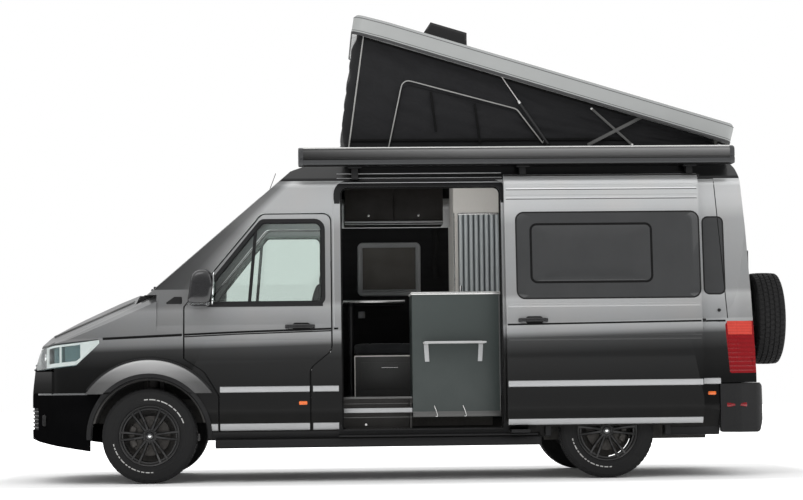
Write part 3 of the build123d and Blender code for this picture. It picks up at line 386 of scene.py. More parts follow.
# ---- materials ---------------------------------------------------------------------------
class Finish:
    """One material's nodes: add() makes a node, with inputs given as values or as other nodes' sockets.

    An input called i0, i1 and so on is found by its number, any other by its name.
    """

    def __init__(self, name, **shader):
        self.material = bpy.data.materials.new(name)
        self.material.use_nodes = True
        self.tree = self.material.node_tree
        self.tree.nodes.clear()
        self.out = self.tree.nodes.new("ShaderNodeOutputMaterial")
        self.where = self.tree.nodes.new("ShaderNodeTexCoord").outputs["Object"]
        self.shader = self.add("BsdfPrincipled", **shader)
        self.tree.links.new(self.shader.outputs[0], self.out.inputs[0])

    def set(self, node, name, value):
        socket = node.inputs[name] if isinstance(name, int) else node.inputs[name.replace("_", " ")]
        if isinstance(value, bpy.types.NodeSocket):
            self.tree.links.new(value, socket)
        elif isinstance(value, tuple) and len(value) == 3 and socket.type == "RGBA":
            socket.default_value = (*value, 1)
        else:
            socket.default_value = value

    def add(self, kind, settings=None, **inputs):
        node = self.tree.nodes.new("ShaderNode" + kind)
        for key, value in (settings or {}).items():
            setattr(node, key, value)
        for key, value in inputs.items():
            self.set(node, int(key[1:]) if key[0] == "i" and key[1:].isdigit() else key, value)
        return node

    def noise(self, scale, detail=3.0, rough=0.55, stretch=None):
        """Noise from 0 to 1 on the object's own coordinates."""
        place = self.where
        if stretch:
            place = self.add("Mapping", Vector=place, Scale=stretch).outputs[0]
        return self.add("TexNoise", Vector=place, Scale=scale, Detail=detail, Roughness=rough).outputs[0]

    def ramp(self, value, stops):
        """Colour ramp; a stop is (position, grey or colour)."""
        node = self.add("ValToRGB", Fac=value)
        points = node.color_ramp.elements
        while len(points) < len(stops):
            points.new(0.5)
        for point, (at, colour) in zip(points, stops):
            point.position = at
            point.color = (colour, colour, colour, 1) if isinstance(colour, (int, float)) else (*colour, 1)
        return node.outputs[0]

    def math(self, kind, a, b=0.5, c=0.5):
        return self.add("Math", {"operation": kind}, i0=a, i1=b, i2=c).outputs[0]

    def mix(self, share, a, b, kind="MIX"):
        node = self.add("Mix", {"data_type": "RGBA", "blend_type": kind})
        for index, value in ((0, share), (6, a), (7, b)):
            self.set(node, index, value)
        return node.outputs[2]

    def axes(self):
        return self.add("SeparateXYZ", Vector=self.where).outputs

    def bump(self, height, strength=0.3, distance=0.002, after=None):
        inputs = {"Height": height, "Strength": strength, "Distance": distance}
        if after:
            inputs["Normal"] = after
        return self.add("Bump", **inputs).outputs[0]

    def colour(self, value):
        self.set(self.shader, "Base Color", value)

    def rough(self, value):
        self.set(self.shader, "Roughness", value)

    def normal(self, value):
        self.set(self.shader, "Normal", value)


def shade(colour, by):
    """A colour made lighter or darker."""
    return tuple(min(1.0, c * by) for c in colour)


def plain_finish(name, colour, rough=(0.35, 0.5), metallic=0.0, scale=60.0, spread=0.12, grain=900.0,
        bump=0.15, coat=0.0, specular=0.5, dust=0.0):
    """Moulded or painted finish: colour drifting with a slow noise, roughness with another, and a fine grain.

    Dust adds a paler film that thickens towards the ground.
    """
    f = Finish(name, Metallic=metallic, Coat_Weight=coat, Coat_Roughness=0.05, Specular_IOR_Level=specular)
    slow = f.noise(scale / 12, 4)
    tone = f.mix(slow, shade(colour, 1 - spread), shade(colour, 1 + spread))
    if dust:
        z = f.axes()[2]
        low = f.math("MULTIPLY", f.ramp(z, ((0.15, dust), (0.75, 0.0))), f.noise(14, 5))
        tone = f.mix(low, tone, (0.20, 0.185, 0.165))
    f.colour(tone)
    f.rough(f.ramp(f.noise(scale, 3), ((0.3, rough[0]), (0.7, rough[1]))))
    f.normal(f.bump(f.noise(grain, 2), bump, 0.0004))
    return f.material


CABIN_FOOT, ROOF_SHADE_Z, ROOF_SHADE_HALF = 1.535, 2.402, 0.95      # metres, as materials read them


def metal_paint():
    """Graphite metallic paint with light and shade painted in: a painted highlight on the upper body, a
    painted reflection on the shoulder under the crease, and below it a fall to black.

    The tone follows the height over the crease line; its fall to black is partly the darker lower panels and
    partly painted shade, and it is painted darker towards the nose. Fine flakes and dust move it. The pillar
    beside the windscreen is painted darker still, and the roof edge under the lifting roof is painted
    near-black as shade.
    """
    f = Finish("graphite_paint", Metallic=0.6, Coat_Weight=0.16, Coat_Roughness=0.02, Specular_IOR_Level=0.05)
    x, y, z = f.axes()
    # Painted light and shade: tone by height over the crease, a painted highlight above, a painted reflection
    # just under the crease, painted shade lower down
    belt = f.math("MULTIPLY_ADD", x, 0.0225, 1.208)
    over = f.math("SUBTRACT", z, belt)
    level = f.math("MULTIPLY_ADD", over, 0.5, 0.5)
    tone = f.ramp(level, ((0.06, 0.004), (0.26, 0.007), (0.38, 0.016), (0.445, 0.055), (0.470, 0.27),
        (0.498, 0.36), (0.503, 0.27), (0.56, 0.33), (0.60, 0.40), (0.62, 0.27), (0.90, 0.33), (0.96, 0.46),
        (1.0, 0.50)))
    # Painted shade: darker towards the nose
    along = f.ramp(f.math("MULTIPLY_ADD", x, 0.16, 0.5),
        ((0.0, 0.48), (0.19, 0.62), (0.30, 0.85), (0.42, 0.92), (0.62, 1.08), (1.0, 0.98)))
    tint = f.mix(f.noise(3.0, 2), (0.93, 0.97, 1.0), (1.0, 0.985, 0.97))
    flake = f.ramp(f.noise(900, 1), ((0.35, 0.94), (0.65, 1.06)))
    for by in (along, tint, flake):
        tone = f.mix(1.0, tone, by, "MULTIPLY")
    dust = f.math("MULTIPLY", f.ramp(z, ((0.30, 0.16), (0.62, 0.0))), f.noise(9.0, 6))
    tone = f.mix(dust, tone, (0.10, 0.095, 0.088))
    # The pillar beside the windscreen is painted darker, in bands
    foot = (SCREEN_FOOT_X + AXLE_X - SCREEN_FOOT_Z * SCREEN_SLOPE) / 1000
    behind = f.math("SUBTRACT", x, f.math("MULTIPLY_ADD", z, SCREEN_SLOPE, foot))
    behind = f.math("MULTIPLY", behind, f.math("MULTIPLY_ADD", z, 1.6, 1 - 1.6 * 1.55))
    pillar = f.ramp(behind, ((0.0, 0.6), (0.066, 0.6), (0.072, 0.06), (0.095, 0.06), (0.105, 0.30),
        (0.30, 0.42), (0.46, 1.0)))
    cabin = f.math("GREATER_THAN", z, CABIN_FOOT)
    tone = f.mix(cabin, tone, f.mix(1.0, tone, pillar, "MULTIPLY"))
    # Painted shade: the roof edge under the lifting roof is painted near-black
    inboard = f.math("LESS_THAN", f.math("ABSOLUTE", y), ROOF_SHADE_HALF)
    roof_edge_shade = f.math("MULTIPLY", inboard, f.math("GREATER_THAN", z, ROOF_SHADE_Z))
    f.colour(f.mix(roof_edge_shade, tone, (0.010, 0.010, 0.0105)))
    f.rough(f.ramp(f.noise(2, 1), ((0.2, 0.28), (0.8, 0.33))))
    return f.material


def bumper_finish():
    """Front bumper: paint above the grey line, painted darker to its foot as shade; grained black plastic
    below.
    """
    f = Finish("bumper_plastic", Specular_IOR_Level=0.0)
    z = f.axes()[2]
    high = f.ramp(z, ((0.722, 0.0), (0.724, 1.0)))
    # Painted shade: the painted part darkens towards its foot
    paint = f.ramp(z, ((0.72, 0.012), (0.80, 0.020), (0.9, 0.045)))
    black = f.mix(f.noise(6, 4), (0.002, 0.002, 0.0022), (0.004, 0.004, 0.0043))
    f.colour(f.mix(high, black, paint))
    f.rough(f.mix(high, (0.5, 0.5, 0.5), (0.28, 0.28, 0.28)))
    grain = f.math("MULTIPLY", f.noise(1100, 2), f.math("SUBTRACT", 1.0, high))
    f.normal(f.bump(grain, 0.3, 0.0004))
    return f.material


def glass_finish(name, colour):
    """Clear glass, tinted, with the faintest ripple."""
    f = Finish(name, Transmission_Weight=1.0, IOR=1.45, Roughness=0.0, Specular_IOR_Level=0.5)
    f.colour(f.mix(f.noise(2.5, 2), shade(colour, 0.98), shade(colour, 1.02)))
    f.normal(f.bump(f.noise(3.0, 1), 0.02, 0.002))
    return f.material


def dark_glass_finish():
    """Privacy glass: a near-black pane with a soft reflection and a slow cloudiness."""
    f = Finish("dark_glass", Coat_Weight=0.4, Coat_Roughness=0.02, Specular_IOR_Level=0.25)
    f.colour(f.mix(f.noise(4, 3), (0.024, 0.025, 0.026), (0.034, 0.035, 0.036)))
    f.rough(f.ramp(f.noise(7, 3), ((0.3, 0.16), (0.7, 0.26))))
    f.normal(f.bump(f.noise(3.0, 1), 0.03, 0.004))
    return f.material


def tyre_finish():
    """Tyre rubber: dull black, greyer in slow random patches."""
    f = Finish("tyre_rubber", Specular_IOR_Level=0.15)
    worn = f.noise(18, 6, 0.6)
    f.colour(f.mix(worn, (0.0055, 0.0055, 0.006), (0.019, 0.019, 0.019)))
    f.rough(f.ramp(worn, ((0.35, 0.62), (0.7, 0.85))))
    f.normal(f.bump(f.noise(700, 3), 0.35, 0.0006))
    return f.material


ALONG_X = (1.0, 60.0, 60.0)      # stretches a noise into a grain along x


def brushed_finish(name, colour, metallic, rough):
    """Anodised or rolled metal with a grain drawn out along x."""
    f = Finish(name, Metallic=metallic)
    grain = f.noise(14, 3, stretch=ALONG_X)
    f.colour(f.mix(grain, shade(colour, 0.86), shade(colour, 1.12)))
    f.rough(f.ramp(grain, ((0.3, rough[0]), (0.7, rough[1]))))
    f.normal(f.bump(grain, 0.08, 0.0006))
    return f.material


def weave_finish(name, colour, thread, rough=0.85, sheen=0.25, spread=0.25):
    """Woven cloth: crossed sets of threads along the three axes give colour and relief, with slow fading."""
    f = Finish(name, Sheen_Weight=sheen, Sheen_Roughness=0.4, Specular_IOR_Level=0.25)
    bands = [f.add("TexWave", {"wave_type": "BANDS", "bands_direction": d, "wave_profile": "SIN"},
        Vector=f.where, Scale=thread / 6.28, Distortion=0.6, Detail=1.0).outputs[1] for d in "XYZ"]
    cross = f.math("MULTIPLY", f.math("MULTIPLY", bands[0], bands[1]), f.math("ADD", bands[2], 0.6))
    fade = f.noise(5, 5, 0.6)
    tone = f.mix(f.math("MULTIPLY_ADD", cross, 0.6, 0.1), shade(colour, 1 - spread),
        shade(colour, 1 + spread))
    f.colour(f.mix(f.math("MULTIPLY", fade, 0.35), tone, shade(colour, 1.7)))
    f.rough(f.ramp(fade, ((0.3, rough - 0.06), (0.7, min(1.0, rough + 0.06)))))
    f.normal(f.bump(cross, 0.35, 0.0005, after=f.bump(f.noise(40, 4), 0.12, 0.004)))
    return f.material


def board_finish(name, colour, spread=0.1, rough=(0.42, 0.55), stretch=(6.0, 6.0, 1.0)):
    """Laminated board: a faint upright grain and small specks."""
    f = Finish(name, Specular_IOR_Level=0.45)
    grain = f.noise(30, 4, 0.6, stretch=stretch)
    speck = f.ramp(f.noise(260, 2), ((0.60, 0.0), (0.70, 1.0)))
    tone = f.mix(grain, shade(colour, 1 - spread), shade(colour, 1 + spread))
    f.colour(f.mix(f.math("MULTIPLY", speck, 0.12), tone, shade(colour, 1.6)))
    f.rough(f.ramp(f.noise(9, 3), ((0.3, rough[0]), (0.7, rough[1]))))
    f.normal(f.bump(grain, 0.06, 0.0006))
    return f.material


def lit(material, strength):
    """The same finish with a little light of its own, as a room lamp would lend it."""
    shader = next(n for n in material.node_tree.nodes if n.type == "BSDF_PRINCIPLED")
    shader.inputs["Emission Color"].default_value = (1.0, 0.97, 0.92, 1)
    shader.inputs["Emission Strength"].default_value = strength
    return material


def lens_finish(name, colour, ribs):
    """Moulded lamp lens: coloured plastic with fine ribs inside."""
    f = Finish(name, IOR=1.45, Coat_Weight=0.35, Coat_Roughness=0.04, Specular_IOR_Level=0.3)
    tone = f.mix(f.noise(30, 2), shade(colour, 0.9), shade(colour, 1.08))
    wave = f.add("TexWave", {"bands_direction": "Z"}, Vector=f.where, Scale=ribs).outputs[1]
    f.colour(f.mix(f.math("MULTIPLY", wave, 0.35), tone, shade(colour, 0.55)))
    f.normal(f.bump(wave, 0.25, 0.001))
    f.rough(0.05)
    return f.material


CLOSED_TOP = 2.8765              # height of the closed lid's top, in metres


def shell_finish():
    """Lifting roof's light plastic; its vent, all that stands over the lid's closed top, is black."""
    f = Finish("shell_and_vent", Coat_Weight=0.1, Specular_IOR_Level=0.4)
    x, z = (f.axes()[k] for k in (0, 2))
    c, s = math.cos(POP_OPEN), math.sin(POP_OPEN)
    hinge_x, hinge_z = (HINGE_X + AXLE_X) / 1000, HINGE_Z / 1000
    over = f.math("MULTIPLY_ADD", z, c, f.math("MULTIPLY_ADD", x, s, hinge_z - s * hinge_x - c * hinge_z))
    vent = f.math("GREATER_THAN", over, CLOSED_TOP)
    light = f.mix(f.noise(5, 4), (0.285, 0.294, 0.290), (0.315, 0.324, 0.320))
    dark = f.mix(f.noise(30, 3), (0.006, 0.006, 0.0065), (0.009, 0.009, 0.0095))
    f.colour(f.mix(vent, light, dark))
    f.rough(f.ramp(f.noise(9, 3), ((0.3, 0.38), (0.7, 0.5))))
    f.normal(f.bump(f.noise(350, 3), 0.1, 0.0005))
    return f.material


def awning_finish():
    """Anodised case with a grain along its length; light and shade painted by height, a painted highlight on
    top and painted shade to black underneath; it is also painted darker to the front.
    """
    f = Finish("awning_anodised", Metallic=0.5, Specular_IOR_Level=0.3)
    x, z = (f.axes()[k] for k in (0, 2))
    # Painted light and shade: a highlight on top, shade to black underneath
    height = f.math("MULTIPLY_ADD", z, 5.0, -12.5)
    face = f.ramp(height, ((0.06, 0.003), (0.15, 0.008), (0.30, 0.035), (0.45, 0.10), (0.62, 0.19),
        (0.72, 0.16)))
    # Painted darker to the front
    along = f.ramp(f.math("MULTIPLY_ADD", x, 0.3, 0.3), ((0.02, 0.28), (0.22, 0.62), (0.45, 1.0)))
    grain = f.noise(14, 3, stretch=ALONG_X)
    streak = f.ramp(grain, ((0.3, 0.9), (0.7, 1.1)))
    f.colour(f.mix(1.0, f.mix(1.0, face, along, "MULTIPLY"), streak, "MULTIPLY"))
    f.rough(f.ramp(grain, ((0.3, 0.28), (0.7, 0.42))))
    return f.material


def arch_finish():
    """Wheel arch flare: satin grey, a painted highlight at its top and painted shade dark at its feet."""
    f = Finish("arch_grey", Metallic=0.4, Specular_IOR_Level=0.35)
    z = f.axes()[2]
    # Painted light and shade: tone by height
    tone = f.ramp(z, ((0.70, 0.06), (0.80, 0.085), (0.88, 0.20), (0.955, 0.40), (1.0, 0.44)))
    f.colour(f.mix(f.math("MULTIPLY", f.noise(8, 4), 0.15), tone, (0.06, 0.06, 0.06)))
    f.rough(f.ramp(f.noise(60, 3), ((0.3, 0.36), (0.7, 0.5))))
    f.normal(f.bump(f.noise(900, 2), 0.15, 0.0004))
    return f.material


PLEATS, PLEAT_X0, PLEAT_WIDE = 18, 2548, 799     # folds of the washroom door, its edge and its width


def pleat_finish():
    """Pleated plastic: pale ridges, painted shade down in the folds, a faint painted glow of the same colour.
    """
    # Painted light: the door glows faintly in its own colour
    f = Finish("pleated_door", Specular_IOR_Level=0.4, Emission_Strength=0.10)
    turn = f.math("FRACT", f.math("MULTIPLY_ADD", f.axes()[0], PLEATS * 1000 / PLEAT_WIDE,
        -PLEATS * (PLEAT_X0 + AXLE_X) / PLEAT_WIDE))
    fold = f.math("ABSOLUTE", f.math("MULTIPLY_ADD", turn, 2.0, -1.0))
    # Painted shade: dark down in the folds
    tone = f.ramp(fold, ((0.0, (0.80, 0.84, 0.85)), (0.45, (0.66, 0.70, 0.71)), (0.78, (0.22, 0.24, 0.25)),
        (1.0, (0.03, 0.033, 0.035))))
    f.colour(tone)
    f.set(f.shader, "Emission Color", tone)
    f.rough(f.ramp(f.noise(40, 3), ((0.3, 0.5), (0.7, 0.6))))
    return f.material


PAINT = metal_paint()
ARCH = arch_finish()
BUMPER = bumper_finish()
TRIM = plain_finish("silver_strip", (0.37, 0.375, 0.38), (0.38, 0.5), metallic=0.25, spread=0.06, dust=0.1)
FLARE = plain_finish("flare_grey", (0.088, 0.091, 0.093), (0.42, 0.55), metallic=0.3, spread=0.08, dust=0.2)
BLACK = plain_finish("black_plastic", (0.007, 0.007, 0.0075), (0.42, 0.58), spread=0.25, bump=0.3,
    specular=0.22)
GLOSS = plain_finish("black_gloss", (0.008, 0.008, 0.009), (0.12, 0.22), spread=0.2, grain=60, bump=0.03,
    coat=0.4)
# Near-black for seams and stitching, and for painted shade lines in creases, door gaps and under ridges
SEAM_AND_SHADE = plain_finish("black_seams_and_shade_lines", (0.003, 0.003, 0.0032), (0.7, 0.85), spread=0.3, specular=0.15)
SEAL = plain_finish("rubber_seal", (0.007, 0.007, 0.007), (0.6, 0.75), spread=0.3, grain=500, bump=0.3,
    specular=0.2)
GLASS = glass_finish("cab_glass", (0.72, 0.785, 0.755))
DARK_GLASS = dark_glass_finish()
RUBBER = tyre_finish()
MARK = plain_finish("white_mark", (0.42, 0.42, 0.41), (0.6, 0.75), spread=0.2, scale=300, dust=0.3)
WHEEL = plain_finish("black_wheel", (0.0075, 0.0075, 0.008), (0.28, 0.42), metallic=0.4, spread=0.2,
    coat=0.15, dust=0.05)
SHELL = shell_finish()
SHELL_RIM = plain_finish("shell_rim", (0.022, 0.022, 0.023), (0.45, 0.6), spread=0.2, bump=0.3)
TENT = weave_finish("tent_cloth", (0.010, 0.0102, 0.0112), thread=500, rough=0.85, sheen=0.05)
PIPING = weave_finish("light_piping", (0.30, 0.30, 0.29), thread=900, rough=0.8, sheen=0.1)
ANODISED = awning_finish()
ANODISED_DARK = brushed_finish("dark_anodised", (0.045, 0.046, 0.048), 0.5, (0.35, 0.5))
BARE = brushed_finish("bare_metal", (0.55, 0.55, 0.54), 0.95, (0.2, 0.34))
DARK_STEEL = plain_finish("black_steel", (0.02, 0.02, 0.021), (0.4, 0.55), metallic=0.4, spread=0.25,
    grain=500, bump=0.35, dust=0.15)
BAR_GREY = brushed_finish("bar_grey", (0.10, 0.10, 0.098), 0.6, (0.35, 0.5))
CAST = plain_finish("cast_metal", (0.055, 0.052, 0.05), (0.6, 0.8), metallic=0.6, spread=0.4, grain=260,
    bump=0.6, dust=0.5)
UNDER = plain_finish("under_coating", (0.014, 0.0135, 0.013), (0.7, 0.9), spread=0.4, grain=120, bump=0.7,
    dust=0.4)
GREEN_BOARD = board_finish("grey_green_board", (0.027, 0.036, 0.034))
GREY_BOARD = board_finish("grey_board", (0.075, 0.075, 0.074))
BROWN_BOARD = board_finish("brown_board", (0.0065, 0.0042, 0.0026), rough=(0.6, 0.75))
CREAM = lit(board_finish("cream_board", (0.78, 0.75, 0.70), 0.05), 0.10)
WORKTOP = board_finish("pale_worktop", (0.66, 0.66, 0.64), 0.05, (0.3, 0.4))
PLEAT = pleat_finish()
FLOOR_VINYL = board_finish("floor_vinyl", (0.022, 0.020, 0.018), 0.25, (0.5, 0.65), (1.0, 10.0, 1.0))
LINING = weave_finish("dark_lining", (0.012, 0.012, 0.0125), thread=300, rough=0.9, sheen=0.1)
FRAME_GREY = plain_finish("frame_grey", (0.30, 0.305, 0.31), (0.45, 0.6), spread=0.06)
BLIND = board_finish("window_blind", (0.062, 0.054, 0.044), 0.2, (0.4, 0.6), (1.0, 1.0, 30.0))
SEAT_CLOTH = weave_finish("seat_cloth", (0.028, 0.029, 0.031), thread=520, spread=0.35)
SEAT_SIDE = weave_finish("seat_side_cloth", (0.014, 0.0145, 0.016), thread=700, rough=0.75)
MATTRESS = weave_finish("mattress_cloth", (0.14, 0.14, 0.145), thread=380)
DASH = plain_finish("dash_plastic", (0.022, 0.022, 0.0225), (0.5, 0.62), spread=0.15, grain=600, bump=0.5)
RED = lens_finish("red_lens", (0.20, 0.003, 0.006), ribs=9.0)
PINK = lens_finish("pale_red_lens", (0.50, 0.05, 0.035), ribs=14.0)
AMBER = lens_finish("amber_lens", (0.80, 0.16, 0.03), ribs=20.0)
CLEAR = glass_finish("lamp_glass", (0.93, 0.96, 0.96))
LAMP_WHITE = plain_finish("lamp_white", (0.82, 0.85, 0.83), (0.15, 0.25), spread=0.05, coat=0.6)
LAMP_TEAL = brushed_finish("lamp_reflector", (0.10, 0.16, 0.165), 0.8, (0.1, 0.22))
CHROME = brushed_finish("bright_metal", (0.72, 0.73, 0.73), 1.0, (0.06, 0.12))

CAD_FINISH = {node: finish for finish, nodes in (
    (PAINT, "left_side_panel right_side_panel roof_panel front_fenders bonnet sliding_door left_front_door "
            "right_front_door left_rear_door right_rear_door"),
    (BUMPER, "front_bumper"), (CLEAR, "headlights"), (RED, "tail_lights"), (FLOOR_VINYL, "floor_pan"),
    (BLACK, "grille cowl_panel rear_bumper left_mirror right_mirror"),
    (GLASS, "windscreen left_front_door_glass right_front_door_glass"),
    (DARK_GLASS, "side_windows left_rear_door_glass right_rear_door_glass"),
    (UNDER, "wheel_arch_liners underbody_frame fuel_tank"),
    (CAST, "rear_axle front_suspension engine_block exhaust left_knuckle right_knuckle"),
    (DASH, "dashboard"), (SEAT_CLOTH, "front_seats"), (GREEN_BOARD, "kitchen_unit"),
    (WORKTOP, "kitchen_tray"), (GREY_BOARD, "dinette"), (BROWN_BOARD, "overhead_cupboards"),
    (CREAM, "washroom_cabin"), (MATTRESS, "rear_bed"), (ANODISED, "awning_case"),
    (SHELL, "pop_top_shell"), (TENT, "roof_tent"),
    (DARK_STEEL, "spare_wheel_carrier gas_strut_barrels"), (BARE, "gas_strut_rods"),
    (BAR_GREY, "scissor_lower_bars scissor_upper_bars")) for node in nodes.split()}
for node, obj in NODES.items():
    material = CAD_FINISH.get(node, RUBBER if node.endswith("tyre") else WHEEL)
    obj.data.materials.clear()
    obj.data.materials.append(material)


# ---- body sides: seams, strips, arches, windows, handles --------------------------------------
UPPER_STRIP, LOWER_STRIP, SILL = (713, 761), (411, 468), (338, 402)     # heights of bands along the sides
SLIDE_OUT = 100.0                # how far the opened sliding door stands off the side
SLIDE_BAND, SLIDE_RIDGE = (2842, 4393), (2850, 4388)     # where its strips and ridges begin and end
QUARTER = (4446, 4606, 1464, 2082, 42)                   # rear quarter pane: x0, x1, z0, z1, corner radius
CUP_PAD = ((1, -5), (1, 2.5), (0.9, 1.0), (0.5, 0.6))    # shallow cup: (share of its outline, lift)


def hump(width, lift, sink=SINK):
    """Low rounded band as a profile (across, up)."""
    share = np.array((-0.5, -0.5, -0.42, -0.25, 0.25, 0.42, 0.5, 0.5))
    rise = np.array((-sink, 0.3 * lift, 0.85 * lift, lift, lift, 0.85 * lift, 0.3 * lift, -sink))
    return join(share * width, rise)


def bead(path, side, width, lift, out=0.0, sink=SINK, count=0):
    """Raised band along (x, z) points of the body side."""
    path = np.asarray(path, float)
    if count:
        path = even(path, count)
    return sweep(on_side(path, side, 0.0, out), hump(width, lift, sink), (0, side, 0))


def gap_shade(outline, side):
    """Dark filler low in the gap round a door: painted shade, so that the gap reads as a line."""
    profile = np.array(((-4, -SINK), (4, -SINK), (4, -SINK - 8), (-4, -SINK - 8)))
    return sweep(on_side(even(outline, 160, True), side, 0.0), profile, (0, side, 0), True)


def pillar_x(z, back=0.0):
    """x of the cab door's sloping front edge."""
    return 330 + back + (z - 1412) * 0.8193


def door_outline(gap):
    """Cab door as seen from the side."""
    g = gap
    return rounded([(270 + g, 1395, 30), (270 + g, 985, 20), (430 + g, 880, 120), (545 + g, 690, 60),
        (545 + g, 345 + g, 20), (1282 - g, 345 + g, 20), (1282 - g, 900, 90), (1455 - g, 1040, 90),
        (1455 - g, 2143 - g, 60), (pillar_x(2143, -40) + g, 2143 - g, 60)])


def cab_window():
    """Cab door's window opening."""
    return rounded([(pillar_x(1412, 45), 1425, 20), (1375, 1425, 40), (1375, 2070, 60),
        (pillar_x(2070, 30), 2070, 40)])


def arch_ring(x, side, radii, lifts, low, hug=False):
    """Band round a wheel opening; its feet end level at height low, and with hug they draw in to the body.

    Point i of the profile lies at radius radii[i] and half width lifts[i]; its angle runs from
    asin((low - axle height) / radius) to the same angle past the top.
    """
    radii, lifts = np.asarray(radii, float), np.asarray(lifts, float)
    first = np.arcsin(np.clip((low - AXLE_Z) / radii, -1, 1))
    t = np.linspace(0, 1, 64)[:, None]
    angle = first + (math.pi - 2 * first) * t
    along, up = x + radii * np.cos(angle), AXLE_Z + radii * np.sin(angle)
    if hug:
        share = np.clip((up - 640) / 90, 0, 1)
        near = np.where(lifts > 1000, skin_y(along, up) + lifts - 1030, lifts)
        lifts = near + (lifts - near) * share
    return closed_bar(join(along, side * lifts, up))


def handle(x, z, side, out=0.0, half=112.0):
    """Door handle: a shallow cup and a bowed grip across it."""
    cup = rect(x - half * 0.55, x + half * 0.75, z - 30, z + 30, 29)
    t = np.linspace(-1, 1, 28)
    ends = 1 - np.abs(t) ** 4
    path = join(x + t * half, side * (skin_y(x + t * half, z) + out + 6 + 30 * ends), z + 3 * (1 - t ** 2))
    grip = sweep(path, ((-15, -4), (-15, 4), (-9, 9), (9, 9), (15, 4), (15, -4), (9, -8), (-9, -8)),
        (0, side, 0))
    lock = dome(rect(x - half + 2, x - half + 30, z - 13, z + 13, 12), beside(side, out),
        ((1, -5), (1, 8), (0.9, 11), (0.4, 12)))
    return (dome(cup, beside(side, out), ((1, -5), (1, 2.5), (0.95, 3.2), (0.9, 1.0), (0.5, 0.6))), grip,
        lock)


def belt_path(x0, x1, count=40):
    """Points of the body's crease between two x."""
    x = np.linspace(x0, x1, count)
    return join(x, belt_z(x))


MARKER_PAD = ((1, -5), (1, 3), (0.93, 6), (0.6, 6.5))     # side marker lamp: (share of its outline, lift)


def cab_side(side, word):
    """Trim of one cab door and of the wing in front of it."""
    door, end = f"{word}_cab_door", f"_{word}"
    # Black strips in the crease: painted shade of its groove
    piece("door_crease_shade" + end, [bead(belt_path(282, 1444), side, 17, 1.6),
        bead(belt_path(282, 1444) - (0, 16), side, 9, 3.0)], SEAM_AND_SHADE, body=door)
    piece("wing_crease_shade" + end, [bead(belt_path(-366, 262), side, 20, 1.6),
        bead(belt_path(1466, 1500, 4), side, 16, 1.6)], SEAM_AND_SHADE)
    piece("door_strips" + end, [strip_on_side(560, 1269, *UPPER_STRIP, side, 9),
        strip_on_side(560, 1269, *LOWER_STRIP, side, 10)], TRIM, body=door)
    piece("sill_strips" + end, [strip_on_side(1296, 1500, *UPPER_STRIP, side, 9, count=12),
        strip_on_side(1296, 1500, *LOWER_STRIP, side, 10, count=12),
        strip_on_side(470, 542, *LOWER_STRIP, side, 10, count=8)], TRIM)
    # Painted shade in the door's gap
    piece("door_gap_shade" + end, [gap_shade(door_outline(6), side)], SEAM_AND_SHADE)
    piece("door_seal" + end, [rim(door_outline(17), ((-3, -14), (3, -14), (3, -26), (-3, -26)),
        beside(side))], SEAL, body=door)
    window = cab_window()
    frame_ = ((26, -6), (26, 1.5), (21, 3.2), (4, 3.2), (-3, 1), (-10, -9), (-13, -19.2), (-6, -19.2),
        (-3, -8))
    divide = [(pillar_x(1425, 45) + 410 + 0.09 * h, 1425 + h) for h in np.linspace(0, 645, 20)]
    piece("cab_window_frame" + end, [rim(window, frame_, beside(side)), bead(divide, side, 26, -6, sink=19.2),
        bead([(400, 1404), (1380, 1404)], side, 22, 5, count=30)], BLACK, body=door)
    sail = rounded([(286, 1418, 8), (372, 1418, 8), (470, 1536, 20), (392, 1536, 12)])
    corner = rounded([(120, 1420, 8), (262, 1420, 8), (262, 1478, 12), (200, 1478, 20)])
    place = beside(side)
    piece("mirror_sail" + end, [dome(sail, place, ((1, -6), (1, 3), (0.94, 5), (0.5, 5.5)))], BLACK,
        body=door)
    piece("wing_sail" + end, [dome(corner, place, ((1, -6), (1, 2), (0.94, 3.5), (0.5, 4)))], BLACK)
    cup, grip, lock = handle(1196, 1232, side)
    piece("cab_handle_cup" + end, [cup], SEAM_AND_SHADE, body=door)
    piece("cab_handle" + end, [grip, lock], GLOSS, body=door)
    marker = rect(1184, 1250, 612, 640, 7)
    piece("front_marker" + end, [dome(marker, place, MARKER_PAD)], AMBER, body=door)
    piece("marker_base" + end, [rim(marker, ((5, -5), (5, 2), (3, 3), (0, 3), (0, -5)), place)], BLACK,
        body=door)


def wheel_arches(side, word):
    """Flares, dark lips and the black line round them, front and rear."""
    flare, lip, line = [], [], []
    for x in (0, WHEELBASE):
        if x and side < 0:
            line.append(arch_ring(x, side, (456, 456, 463, 490, 500, 500), (960, 1022, 1027, 1027, 1022, 960),
                345))
            continue
        flare.append(arch_ring(x, side, (494, 494, 500, 545, 585, 597, 602, 602),
            (1036, 1045, 1048, 1050, 1048, 1044, 1038, 1010), 713))
        lip.append(arch_ring(x, side, (456, 456, 463, 489, 496, 496), (905, 1036, 1044, 1046, 1044, 905), 352,
            True))
        line.append(arch_ring(x, side, (602, 602, 615, 617), (1000, 1041, 1037, 1000), 760 if x else 745))
    piece("arch_flares_" + word, flare, ARCH)
    piece("arch_lips_" + word, lip + line, BLACK)


